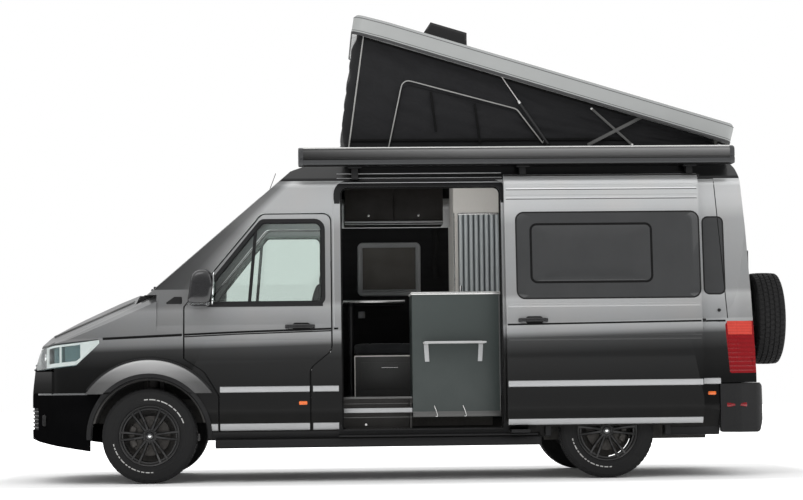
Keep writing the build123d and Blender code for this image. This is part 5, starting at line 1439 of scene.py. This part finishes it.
def lifting_roof():
    """Rim, shade lines, ribs, vent, hinge straps and inner lining of the lifting roof."""
    piece("pop_rim", [pop_band(2707, 2730, 3.0)], SHELL_RIM, body="pop_top")
    piece("pop_lines", [pop_band(2740, 2745, 1.2), pop_band(2846, 2852, 1.2)], FLARE, body="pop_top")
    ribs = []
    for y in (-480, -240, 240, 480):
        path = [(x, y, 2870.5 - 0.004 * max(0, 1700 - x)) for x in np.linspace(1640, 4600, 12)]
        ribs.append(turned(sweep(path, hump(90, 6, 3))))
    piece("pop_ribs", ribs, SHELL, body="pop_top")
    rows = []
    for up, out in ((4, 1.2), (40, 1.2), (41, 4), (58, 4), (59, 1.2), (96, 1.2), (97, -1), (103, -1),
            (104, 1.5), (150, 1.5), (190, 0.8), (204, -3), (210, -12), (211.4, -40), (211.5, -120)):
        inset = up * VENT_LEAN - out
        ring = rect(VENT_X - 220 + inset, VENT_X + 220 - inset, inset - 250, 250 - inset, 26)
        rows.append(level(ring, 2862.0 + up))
    piece("vent_dome", [turned(closed_bar(rows))], BLACK, body="pop_top")
    frame_ = rim(rect(VENT_X - 222, VENT_X + 222, -252, 252, 30),
        ((16, 2868), (16, 2874), (4, 2882), (-6, 2868)), level)
    piece("vent_frame", [turned(frame_)], BLACK, body="pop_top")
    straps = []
    for side in (-1, 1):
        for y in (635, 80):
            straps.append(turned(brick((4640, side * y - 20, 2700), (4728, side * y + 20, 2711), 3)))
    piece("pop_hinge_straps", straps, DARK_STEEL, body="pop_top")
    inner = turned(brick((1600, -680, 2786), (4640, 680, 2794), 3))
    piece("pop_lining", [inner], CREAM, body="pop_top")


TENT_FOOT, TENT_SIDE = 2692.0, -641.0    # height of the cloth's foot, and its left side
FOLD_DEEP, BELLY, CLOTH_THICK = 16, 50, 1.6


def cloth_wall(count=260, rows=40):
    """The tent as one closed ribbon round the frame, from its top edge up to the lifting roof.

    At perimeter position s and height t the cloth is bottom(s) + (top(s) - bottom(s)) t, moved outwards by
    9 sin(pi t) (0.5 sin(2 pi (6 t + 11 s)) + 0.3 sin(2 pi (27 s - 3 t)) + 0.2 sin(2 pi (69 s + t))) - 2 mm,
    drawn in by 16 mm along slanting folds, and bellied out by 50 min(1, 2.4 sin(pi t)) mm at the front.
    """
    low = even(rect(1574, 4632, -629, 629, 45, 6), count, True)
    high = join(1557 + (low[:, 0] - 1574) * (4606 - 1557) / (4632 - 1574), low[:, 1])
    top = turned((level(high, 2748.0), None))[0]
    bottom = level(low, TENT_FOOT)
    ahead = np.roll(low, -1, 0) - np.roll(low, 1, 0)
    out = join(ahead[:, 1], -ahead[:, 0]) / np.linalg.norm(ahead, axis=1)[:, None]
    t = np.linspace(0, 1, rows)[:, None]
    s = np.linspace(0, 1, count, endpoint=False)[None]
    tall = np.clip((top[:, 2] - bottom[:, 2]) / 400, 0, 1)[None]
    turn, middle = 2 * math.pi, np.sin(math.pi * t)
    wave = 9 * middle * tall * (0.5 * np.sin(turn * (6 * t + 11 * s)) + 0.3 * np.sin(turn * (27 * s - 3 * t))
        + 0.2 * np.sin(turn * (69 * s + t))) - 2
    wave -= FOLD_DEEP * middle * tall * np.clip(np.sin(turn * (2.1 * t + 9 * s)), 0, 1) ** 4
    wave += BELLY * np.minimum(1, 2.4 * middle) * np.clip(-out[None, :, 0], 0, 1) ** 2
    points = bottom[None] + (top - bottom)[None] * t[..., None]
    skin, back = points.copy(), points.copy()
    skin[..., :2] += out[None] * wave[..., None]
    back[..., :2] += out[None] * (wave[..., None] - CLOTH_THICK)
    return grid_part(np.concatenate((skin, back[::-1])), wrap_rows=True, wrap_columns=True)


def tent():
    """Tent cloth with its zipped window, piping, seams and straps, each with a mesh of its own."""
    cloth = piece("tent_cloth", [cloth_wall()], TENT, ("roof_tent",), angle=0)
    y, out, across = TENT_SIDE, (0, -1, 0), (0, 1, 0)
    window = even(rounded([(1930, 2700, 0), (2052, 3262, 60), (2985, 3010, 60), (3196, 2728, 0)],
        closed=False), 120)
    line = join(window[:, 0], y + 1, window[:, 1])
    inner = join(window[:, 0] * 0.985 + 38, y + 1.5, window[:, 1] * 0.93 + 188)
    edge = [(1603 + 131 * t, y + 6, 2694 + 934 * t) for t in np.linspace(0, 1, 30)]
    hem = [(x, y + 3, 2758) for x in np.linspace(1620, 3900, 40)]
    upper = [(x, y + 4, 3612 - (x - 1710) * 0.302) for x in np.linspace(1720, 3900, 40)]
    toggle = [(3196 + 30 * t, y - 1.5, 2728 + 26 * math.sin(math.pi * t)) for t in np.linspace(0, 1, 12)]
    straps = [[(x + 40 * t, y + 0.5, 3215 - (x - 2052) * 0.27 - 330 * t) for t in np.linspace(0, 1, 20)]
        for x in (2280, 2640)]
    extra = [piece(name, [part], finish) for name, part, finish in (
        ("tent_zip", tube(line, 5.0, 8, across), PIPING),
        ("tent_zip_stitch", tube(inner, 2.2, 6, across), SEAM_AND_SHADE),
        ("tent_front_piping", tube(edge, 6.0, 8, across), PIPING),
        ("tent_hem", sweep(hem, hump(22, 2.5, 3), out), SEAM_AND_SHADE),
        ("tent_top_seam", sweep(upper, hump(18, 2.5, 3), out), SEAM_AND_SHADE),
        ("tent_zip_pull", tube(toggle, 3.0, 8, across), PIPING),
        ("tent_strap_1", sweep(straps[0], hump(20, 2.5, 2), out), SEAM_AND_SHADE),
        ("tent_strap_2", sweep(straps[1], hump(20, 2.5, 2), out), SEAM_AND_SHADE))]
    for part in [cloth] + extra:
        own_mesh(part)


def stays():
    """Ball ends of the gas struts and rivets of the scissor bars."""
    ball = ((-13, 0.1), (-12, 6), (-8, 11), (0, 13), (8, 11), (12, 6), (13, 0.1))
    rivet = lathe(((0, 0.1), (0, 10), (3, 9.5), (5, 6), (5.5, 0.1)), (0, 0, 0), "y", 16, False)
    foot, eye, pin = (3243, 2706), lifted(2745, 2750), lifted(3985, 2732)
    reach = np.array((eye[0] - foot[0], 0, eye[1] - foot[1]))
    way = reach / np.linalg.norm(reach)
    ends, eyes, low, high, collars = [], [], [], [], []
    for side in (-1, 1):
        y = side * 655
        ends.append(lathe(ball, (foot[0], y, foot[1]), "y", 20, False))
        eyes.append(lathe(ball, (eye[0], y, eye[1]), "y", 20, False))
        low += [moved(rivet, (x, side * 652.5, z), side) for x, z in ((3933, 2706), (3602, 3009))]
        high.append(moved(rivet, (pin[0], side * 667.5, pin[1]), side))
        at = np.array((foot[0], y, foot[1])) + way * 440
        collars.append(tube([at - way * 24, at - way * 22, at, at + way * 2], 12.5, 16, (0, 1, 0)))
    piece("strut_feet", ends, DARK_STEEL, body="strut_barrels")
    piece("strut_collars", collars, BARE, body="strut_barrels")
    piece("strut_eyes", eyes, DARK_STEEL, body="strut_rods")
    piece("lower_rivets", low, BARE, body="lower_scissor")
    piece("upper_rivets", high, BARE, body="upper_scissor")


awning()
lifting_roof()
tent()
stays()


# ---- living room --------------------------------------------------------------------------
def pad(centre, size, turn=0.0, channels=(), n=8.0, pinch=0.02, crown=0.10, count=44):
    """Crowned cushion: its faces bulge, its sides pull in between the corners, and sewn channels cross it.

    With u and v from -1 to 1: x = u lx/2 (1 - pinch (1 - v^2)), y = v ly/2 (1 - pinch (1 - u^2)),
    z = +-lz/2 ((1 - |u|^n)(1 - |v|^n))^(1/n) (1 - crown (u^2 + v^2) / 2), less 7 mm in each channel.
    """
    t = np.sin(np.linspace(-math.pi / 2, math.pi / 2, count))
    u, v = np.meshgrid(t, t, indexing="ij")
    lx, ly, lz = size
    body = ((1 - np.abs(u) ** n) * (1 - np.abs(v) ** n)) ** (1 / n)
    x = u * lx / 2 * (1 - pinch * (1 - v ** 2))
    y = v * ly / 2 * (1 - pinch * (1 - u ** 2))
    z = lz / 2 * body * (1 - crown * (u ** 2 + v ** 2) / 2)
    groove = sum((7 * np.exp(-((x - at) / 7) ** 2) for at in channels), np.zeros_like(x)) * np.minimum(1,
        body)
    top = join(x, y, z - groove)
    low = join(x, y, -z * 0.92)
    points, faces = leaf(top, low)
    return tilted(points, turn, centre), faces


def tilted(points, turn, centre):
    """Points turned about y by an angle and shifted to a centre."""
    c, s = math.cos(turn), math.sin(turn)
    x, y, z = points[:, 0], points[:, 1], points[:, 2]
    return np.column_stack((x * c + z * s, y, -x * s + z * c)) + np.asarray(centre, float)


def piping(centre, size, turn=0.0, pinch=0.02):
    """Sewn cord round a cushion's edge."""
    t = np.linspace(0, 2 * math.pi, 120, endpoint=False)
    u = np.sign(np.cos(t)) * np.abs(np.cos(t)) ** 0.28
    v = np.sign(np.sin(t)) * np.abs(np.sin(t)) ** 0.28
    lx, ly, _ = size
    path = join(u * lx / 2 * (1 - pinch * (1 - v ** 2)) * 0.995,
        v * ly / 2 * (1 - pinch * (1 - u ** 2)) * 0.995, 0.0)
    return tube(even(tilted(path, turn, centre), 110, True), 3.5, 6, (math.sin(turn), 0, math.cos(turn)),
        True)


def cushion(name, centre, size, turn=0.0, channels=(), material=None, slot=None, **form):
    """A cushion with its piping."""
    parts = [pad(centre, size, turn, channels, **form), piping(centre, size, turn, form.get("pinch", 0.02))]
    made = piece(name, parts, material or SEAT_CLOTH, angle=0)


def kitchen():
    """Kitchen block: carcass, worktop, drawers, sink, hob, brackets and hooks, and the folding tray."""
    piece("kitchen_carcass", [brick((2091, -915, 500), (2799, -480, 1481), 5)], GREEN_BOARD,
        ("kitchen_unit",))
    piece("kitchen_top", [brick((2086, -919, 1480), (2804, -470, 1500), 5)], WORKTOP)
    piece("kitchen_edge", [brick((2087, -920.5, 1478), (2803, -917, 1498), 1.4)], BARE)
    skirt = [brick((2093, -916.5, 502), (2797, -912, 545), 1.5),
        brick((2790, -917, 545), (2797, -913, 1478), 1.5)]
    piece("kitchen_end_trim", skirt, BAR_GREY)
    fronts, pulls = [], []
    for k, (z0, z1) in enumerate(((700, 930), (936, 1200), (1206, 1470))):
        for x0, x1 in ((2098, 2440), (2446, 2792)):
            fronts.append(brick((x0, -482, z0), (x1, -470, z1), 3))
            pulls.append(tube([(x0 + 110 + d, -466 + 12 * math.sin(math.pi * d / 120) ** 0.5, z1 - 40)
                for d in np.linspace(0, 120, 12)], 4, 8))
    piece("kitchen_drawers", fronts, GREY_BOARD)
    piece("kitchen_pulls", pulls, BARE)
    bowl = rect(2140, 2420, -850, -560, 60, 8)
    piece("sink", [rim(bowl, ((14, 1500), (14, 1502.5), (4, 1503.5), (0, 1501.5), (0, 1500)), level),
        dome(bowl, level, ((1, 1500.2), (0.99, 1501), (0.9, 1500.6), (0.3, 1500.5)))], BARE)
    hob = rect(2470, 2770, -850, -560, 20, 6)
    piece("hob", [dome(hob, level, ((1, 1500), (1, 1503.5), (0.985, 1505), (0.5, 1505)))], GLOSS)
    rings = [lathe(((0, r), (3, r - 2), (6, r - 8), (6, r - 16), (0, r - 18)), (x, -705, 1505), "z", 36)
        for x, r in ((2545, 52), (2695, 42))]
    piece("hob_burners", rings, DARK_STEEL)
    for k, x in enumerate((2200, 2640)):
        plate = rounded([(-915, 942, 4), (-921, 942, 3), (-926.5, 1070, 3), (-926.5, 1084, 1),
            (-915, 1084, 1)])
        lean = (1 - 2 * k) * (1084 - plate[:, 1]) * 0.06
        rows = [np.column_stack((x + dx + lean, plate)) for dx in (-16, -15, 18, 19)]
        piece(f"tray_bracket_{k + 1}", [closed_bar(rows)], TRIM)
    hooks = []
    for x in (2262, 2492):
        path = [(x, -918, 590), (x + 4, -921, 580), (x + 18, -924, 545), (x + 26, -925, 512),
            (x + 20, -926, 503), (x + 10, -926, 508)]
        hooks.append(tube(even(np.array(path, float), 24), 3.4, 8, (0, 1, 0)))
    piece("kitchen_hooks", hooks, BARE)
    tray = brick((2176, -1104.7, 1085), (2673, -915.3, 1100), 5, 3)
    piece("folding_tray", [tray], WORKTOP, ("kitchen_tray",), body="tray_flap")
    lip = brick((2177, -1104.9, 1086.5), (2672, -1101, 1098.5), 1.5)
    hinge = tube([(x, -919, 1103) for x in np.linspace(2196, 2652, 12)], 3.4, 10)
    piece("tray_edge", [lip, hinge], TRIM, body="tray_flap")


def washroom():
    """Washroom: cream walls and lintel, edge profiles and a pleated folding door."""
    walls = [brick((x, 150, z0), (x + 35, y1, z1), 5) for x in (2510, 3350) for z0, z1,
        y1 in ((660.5, 1300, 925), (1296, 2150, 855), (2146, 2498, 690))]
    piece("washroom_walls", walls, CREAM, ("washroom_cabin",))
    piece("washroom_lintel", [brick((2506, 146, 2222), (3389, 186, 2500), 6)], CREAM)
    trims = [tube([(2512, 150, z) for z in np.linspace(664, 2220, 8)], 5, 8, (1, 0, 0)),
        tube([(3383, 150, z) for z in np.linspace(664, 2220, 8)], 5, 8, (1, 0, 0)),
        brick((2545, 150, 2206), (3350, 186, 2222), 3), brick((2545, 150, 661), (3350, 186, 672), 3)]
    piece("washroom_profiles", trims, BARE)
    x = np.linspace(PLEAT_X0, PLEAT_X0 + PLEAT_WIDE, PLEATS * 10 + 1)
    fold = np.abs(((x - PLEAT_X0) / (PLEAT_WIDE / PLEATS)) % 1 * 2 - 1)
    y = 156 + 26 * fold ** 2.2
    z = np.linspace(674, 2205, 12)
    door = join(x[:, None], y[:, None], z)
    piece("folding_door", [leaf(door, door + (0, 2.5, 0))], PLEAT, angle=25)
    piece("folding_door_grip", [brick((2552, 146, 1380), (2572, 158, 1600), 5)], BARE)


def lounge():
    """Bench, table, overhead cupboards with their strap, and the dark lining with its window and socket."""
    base = [brick((1652, 250, 660.5), (2250, 925, 1009), 6), brick((2200, 255, 1009), (2250, 900, 1120), 5),
        brick((2236, 255, 1110), (2250, 900, 1478), 5)]
    piece("bench_box", base, GREY_BOARD, ("dinette",))
    edges = [brick((1650, 247, 660), (1657, 256, 1009), 2), brick((1652, 247, 1000), (2250, 253, 1010), 2)]
    piece("bench_edges", edges, CREAM)
    drawer = [brick((1700, 246, 720), (2200, 252, 950), 4)]
    piece("bench_drawer", drawer, GREY_BOARD)
    piece("bench_pull", [tube([(1880 + d, 240, 905) for d in np.linspace(0, 140, 8)], 4, 8)], BARE)
    cushion("bench_seat", (1925, 588, 1064), (540, 660, 108), channels=(-135, 0, 135))
    cushion("bench_back", (2190, 578, 1300), (340, 640, 88), math.pi / 2 - 0.03, channels=(-85, 85))
    top = [brick((1560, 300, 1461), (2090, 900, 1489), 10, 3)]
    piece("table_top", top, GREY_BOARD)
    piece("table_edge", [brick((1559, 299, 1466), (2091, 303, 1484), 1.8),
        brick((1558, 300, 1466), (1562, 900, 1484), 1.8)], BARE)
    leg = lathe(((661, 45), (667, 44), (672, 24), (690, 22), (1440, 22), (1452, 34), (1461, 36), (1461, 0.1),
        (661, 0.1)), (1625, 380, 0), "z", 28)
    piece("table_leg", [leg], DARK_STEEL)
    cup = [brick((1580, 500, 2152), (2440, 835, 2390), 5), brick((1580, 500, 2386), (2440, 690, 2498), 5)]
    piece("cupboard_body", cup, BROWN_BOARD, ("overhead_cupboards",))
    piece("cupboard_doors", [brick((1584, 482, 2196), (2006, 501, 2494), 5),
        brick((2012, 482, 2196), (2436, 501, 2494), 5)], BROWN_BOARD)
    piece("cupboard_rail", [brick((1582, 480, 2166), (2438, 498, 2182), 3),
        brick((1582, 482, 2150), (2438, 500, 2158), 2)], TRIM)
    locks = [lathe(((0, 0.1), (0, 11), (-4, 10), (-6, 6), (-6, 0.1)), (x, 481, 2230), "y", 20, False)
        for x in (1790, 2225)]
    piece("cupboard_locks", locks, BARE)
    x, z = grid(1470, 2508, 40, 664, 2148, 40)
    half = skin_y(x, z) - 66
    lining = join(x, half, z)
    piece("side_lining", [leaf(lining, lining + (0, 4, 0))], LINING)
    place = lambda o, d: join(o[:, 0], skin_y(o[:, 0], o[:, 1]) - 66 - d, o[:, 1])
    hole = rect(1698, 2258, 1545, 2019, 46, 8)
    piece("window_frame_inside", [rim(hole, ((0, -2), (0, 16), (-8, 22), (-34, 20), (-44, 12), (-46, -2)),
        place)], FRAME_GREY)
    piece("window_blind", [dome(hole, place, ((0.97, 0), (0.93, 6), (0.9, 7), (0.5, 7.5), (0.1, 7.5)))],
        BLIND)
    bar = [(1745 + 470 * t, float(skin_y(1980.0, 1590.0)) - 80, 1596) for t in np.linspace(0, 1, 12)]
    piece("blind_bar", [tube(bar, 7, 8)], FRAME_GREY)
    socket = [brick((1700, 905, 1350), (1760, 915, 1410), 8)]
    piece("wall_socket", socket, FRAME_GREY)
    strap = even(rounded([(2388, 2130, 0), (2402, 1980, 60), (2374, 1850, 60), (2396, 1700, 0)],
        closed=False), 40)
    path = np.column_stack((strap[:, 0], 850 - (2130 - strap[:, 1]) * 0.05, strap[:, 1]))
    piece("cupboard_strap", [sweep(path, hump(46, 5, 3), (0, -1, 0))], SEAL)


def sleeping_room():
    """Rear bed: a flat base with a rail at its front and three crowned mattress parts."""
    piece("bed_base", [brick((3402, -955, 1082), (4738, 955, 1111), 5)], GREY_BOARD,
        ("rear_bed",))
    piece("bed_front", [brick((3396, -950, 1040), (3412, 950, 1118), 4)], BARE)
    for k, (y0, y1) in enumerate(((-952, -322), (-316, 316), (322, 952))):
        cushion(f"mattress_{k + 1}", (4070, (y0 + y1) / 2, 1172), (1330, y1 - y0 - 8, 116),
            channels=(-440, -220, 0, 220, 440), material=MATTRESS, slot="light_board", pinch=0.008, n=14.0)


def wheelhouses():
    """Dark panels inboard of the wheels: the engine bay's sides and, at the rear, the rails' faces."""
    panels = [brick((-445, side * 478, 470), (445, side * 482, 1000), 1.5, 1) for side in (-1, 1)]
    panels += [brick((3170, side * 596, 300), (4500, side * 600, 530), 1.5, 1) for side in (-1, 1)]
    piece("wheelhouse_panels", panels, UNDER, smooth=False)


def cab():
    """Seats with piped cushions and head rests, seat boxes, the dashboard's fittings, the steering wheel."""
    for side, word in SIDES:
        y = side * 440
        base = [brick((802, y - 198, 661), (1198, y + 198, 898), 12),
            brick((1190, y - 235, 905), (1235, y + 235, 1000), 14)]
        piece(f"{word}_seat_box", base, DASH, ("front_seats",))
        cushion(f"{word}_seat_cushion", (975, y, 985), (500, 480, 150), 0.08, channels=(-120, 30, 150))
        cushion(f"{word}_seat_back", (1310, y, 1285), (600, 470, 125), -1.33, channels=(-180, -40, 110),
            pinch=0.03)
        cushion(f"{word}_head_rest", (1405, y, 1685), (205, 255, 84), -1.36, n=5.0, pinch=0.05,
            material=SEAT_SIDE)
        posts = [tube([(1378 + 12 * t, y + dy, 1552 + 50 * t) for t in np.linspace(0, 1, 6)], 6, 8, (0, 1, 0))
            for dy in (-55, 55)]
        piece(f"{word}_rest_posts", posts, BARE)
        bolsters = []
        for dy in (-222, 222):
            path = [(760 + 430 * t, y + dy, 1000 + 26 * math.sin(math.pi * t)) for t in np.linspace(0, 1, 14)]
            bolsters.append(tube(path, 30, 12))
            path = [(1228 + 170 * t, y + dy, 1040 + 480 * t) for t in np.linspace(0, 1, 14)]
            bolsters.append(tube(path, 27, 12, (0, 1, 0)))
        piece(f"{word}_seat_bolsters", bolsters, SEAT_SIDE)
    vents = []
    for y in (-760, -250, 130, 760):
        vents.append(brick((396, y - 75, 1200), (424, y + 75, 1262), 8))
        vents += [brick((420, y - 68, 1208 + 11 * k), (428, y + 68, 1212 + 11 * k), 1.5, 1) for k in range(5)]
    piece("dash_vents", vents, BLACK)
    piece("dash_screen", [brick((398, -190, 1090), (424, 70, 1190), 8)], GLOSS)
    hood = [(385 + 24 * math.cos(t), 430 - 170 * math.cos(t), 1296 + 52 * math.sin(t))
        for t in np.linspace(0.05, math.pi - 0.05, 24)]
    piece("dial_hood", [tube(hood, 16, 12, (1, 0, 0))], DASH)
    hub, grip, tilt = (560, 430, 1240), ring_profile(190, 72), math.radians(66)
    c, s = math.cos(tilt), math.sin(tilt)
    circle = np.column_stack((hub[0] + grip[:, 0] * c, hub[1] + grip[:, 1], hub[2] - grip[:, 0] * s))
    piece("wheel_grip", [tube(circle, 17.5, 12, (s, 0, c), True)], SEAT_SIDE)
    boss = lathe(((-6, 0.1), (-6, 66), (10, 62), (22, 40), (26, 0.1)), (0, 0, 0), "x", 32, False)
    p = boss[0]
    turned_boss = np.column_stack((hub[0] + p[:, 0] * s + p[:, 2] * c, hub[1] + p[:, 1],
        hub[2] + p[:, 0] * c - p[:, 2] * s))
    piece("wheel_boss", [(turned_boss, boss[1])], DASH)


kitchen()
washroom()
lounge()
sleeping_room()
wheelhouses()
cab()


# ---- floor, light and camera ---------------------------------------------------------------
def studio():
    """Plain pale floor, white surroundings seen by the camera, soft light from above and both sides.

    The floor gives off light of its own away from the vehicle, so that it meets the white surroundings.
    """
    bpy.ops.mesh.primitive_plane_add(size=80, location=(0, 0, 0))
    floor = bpy.context.object
    floor.name = "studio_floor"
    f = Finish("studio_floor", Roughness=0.9, Specular_IOR_Level=0.1, Emission_Color=(1, 1, 1))
    f.colour(f.mix(f.noise(0.4, 2), (0.90, 0.90, 0.90), (0.92, 0.92, 0.92)))
    x, y = (f.axes()[k] for k in (0, 1))
    beyond = [f.math("SUBTRACT", f.math("ABSOLUTE", at), half) for at, half in ((x, 3.3), (y, 1.3))]
    far = f.math("MAXIMUM", *beyond)
    glow = f.ramp(f.math("MULTIPLY", far, 0.5), ((0.0, 0.02), (0.3, 0.45), (1.0, 0.8)))
    f.set(f.shader, "Emission Strength", glow)
    floor.data.materials.append(f.material)
    world = bpy.data.worlds.new("studio")
    bpy.context.scene.world = world
    world.use_nodes = True
    tree = world.node_tree

    def node(kind, *inputs, **settings):
        made = tree.nodes.new("ShaderNode" + kind)
        for key, value in settings.items():
            setattr(made, key, value)
        for k, value in enumerate(inputs):
            if isinstance(value, (int, float)):
                made.inputs[k].default_value = value
            else:
                tree.links.new(value, made.inputs[k])
        return made

    way = node("TexCoord").outputs["Generated"]
    up = node("SeparateXYZ", way).outputs[2]
    sky = node("ValToRGB", node("Math", up, 0.5, 0.5, operation="MULTIPLY_ADD").outputs[0])
    for k, (at, grey) in enumerate(SKY):
        stop = sky.color_ramp.elements[k] if k < 2 else sky.color_ramp.elements.new(at)
        stop.position, stop.color = at, (grey, grey, grey, 1)
    path = node("LightPath")
    seen = node("Math", path.outputs["Is Camera Ray"], path.outputs["Is Transmission Ray"],
        operation="MAXIMUM")
    both = node("MixRGB", seen.outputs[0])
    tree.links.new(sky.outputs[0], both.inputs[1])
    both.inputs[2].default_value = (1, 1, 1, 1)
    tree.links.new(both.outputs[0], tree.nodes["Background"].inputs[0])
    for name, place, aim, size, power in LAMPS:
        data = bpy.data.lights.new(name, "AREA")
        data.shape, data.size, data.size_y, data.energy = "RECTANGLE", size[0], size[1], power
        lamp = bpy.data.objects.new(name, data)
        bpy.context.scene.collection.objects.link(lamp)
        lamp.location = place
        lamp.rotation_euler = (Vector(aim) - Vector(place)).to_track_quat("-Z", "Y").to_euler()


SKY = ((0.0, 0.10), (1.0, 1.3), (0.5, 0.28), (0.56, 0.46), (0.66, 0.80), (0.80, 1.15))    # height, brightness
LAMPS = (("key_light", (-5.0, -9.0, 9.0), (0, 0, 1.2), (7, 5), 220),
    ("fill_light", (7.0, -7.0, 6.0), (0, 0, 1.2), (6, 5), 100),
    ("rear_light", (2.0, 9.0, 8.0), (0, 0, 1.5), (8, 5), 160))


CAMERA_AT, CAMERA_TURN = (-0.7432, -17.248, 0.80), (0.042484, 0.0634885, -0.01126)
CAMERA_LENS = 91.52


def viewing_camera():
    """Long lens from the left side, a touch below the middle of the body, level to within four degrees."""
    yaw, pitch, roll = CAMERA_TURN
    right = Vector((math.cos(yaw), -math.sin(yaw), 0))
    up = Vector((-math.sin(yaw) * math.sin(pitch), -math.cos(yaw) * math.sin(pitch), math.cos(pitch)))
    turn_right = right * math.cos(roll) + up * math.sin(roll)
    turn_up = up * math.cos(roll) - right * math.sin(roll)
    back = turn_right.cross(turn_up)
    data = bpy.data.cameras.new("camera")
    data.lens, data.sensor_width = CAMERA_LENS, 36.0
    camera = bpy.data.objects.new("camera", data)
    bpy.context.scene.collection.objects.link(camera)
    axes = Matrix((turn_right, turn_up, back)).transposed()
    camera.matrix_world = Matrix.Translation(CAMERA_AT) @ axes.to_4x4()
    bpy.context.scene.camera = camera


studio()
viewing_camera()
bpy.context.scene.view_settings.view_transform = "Standard"
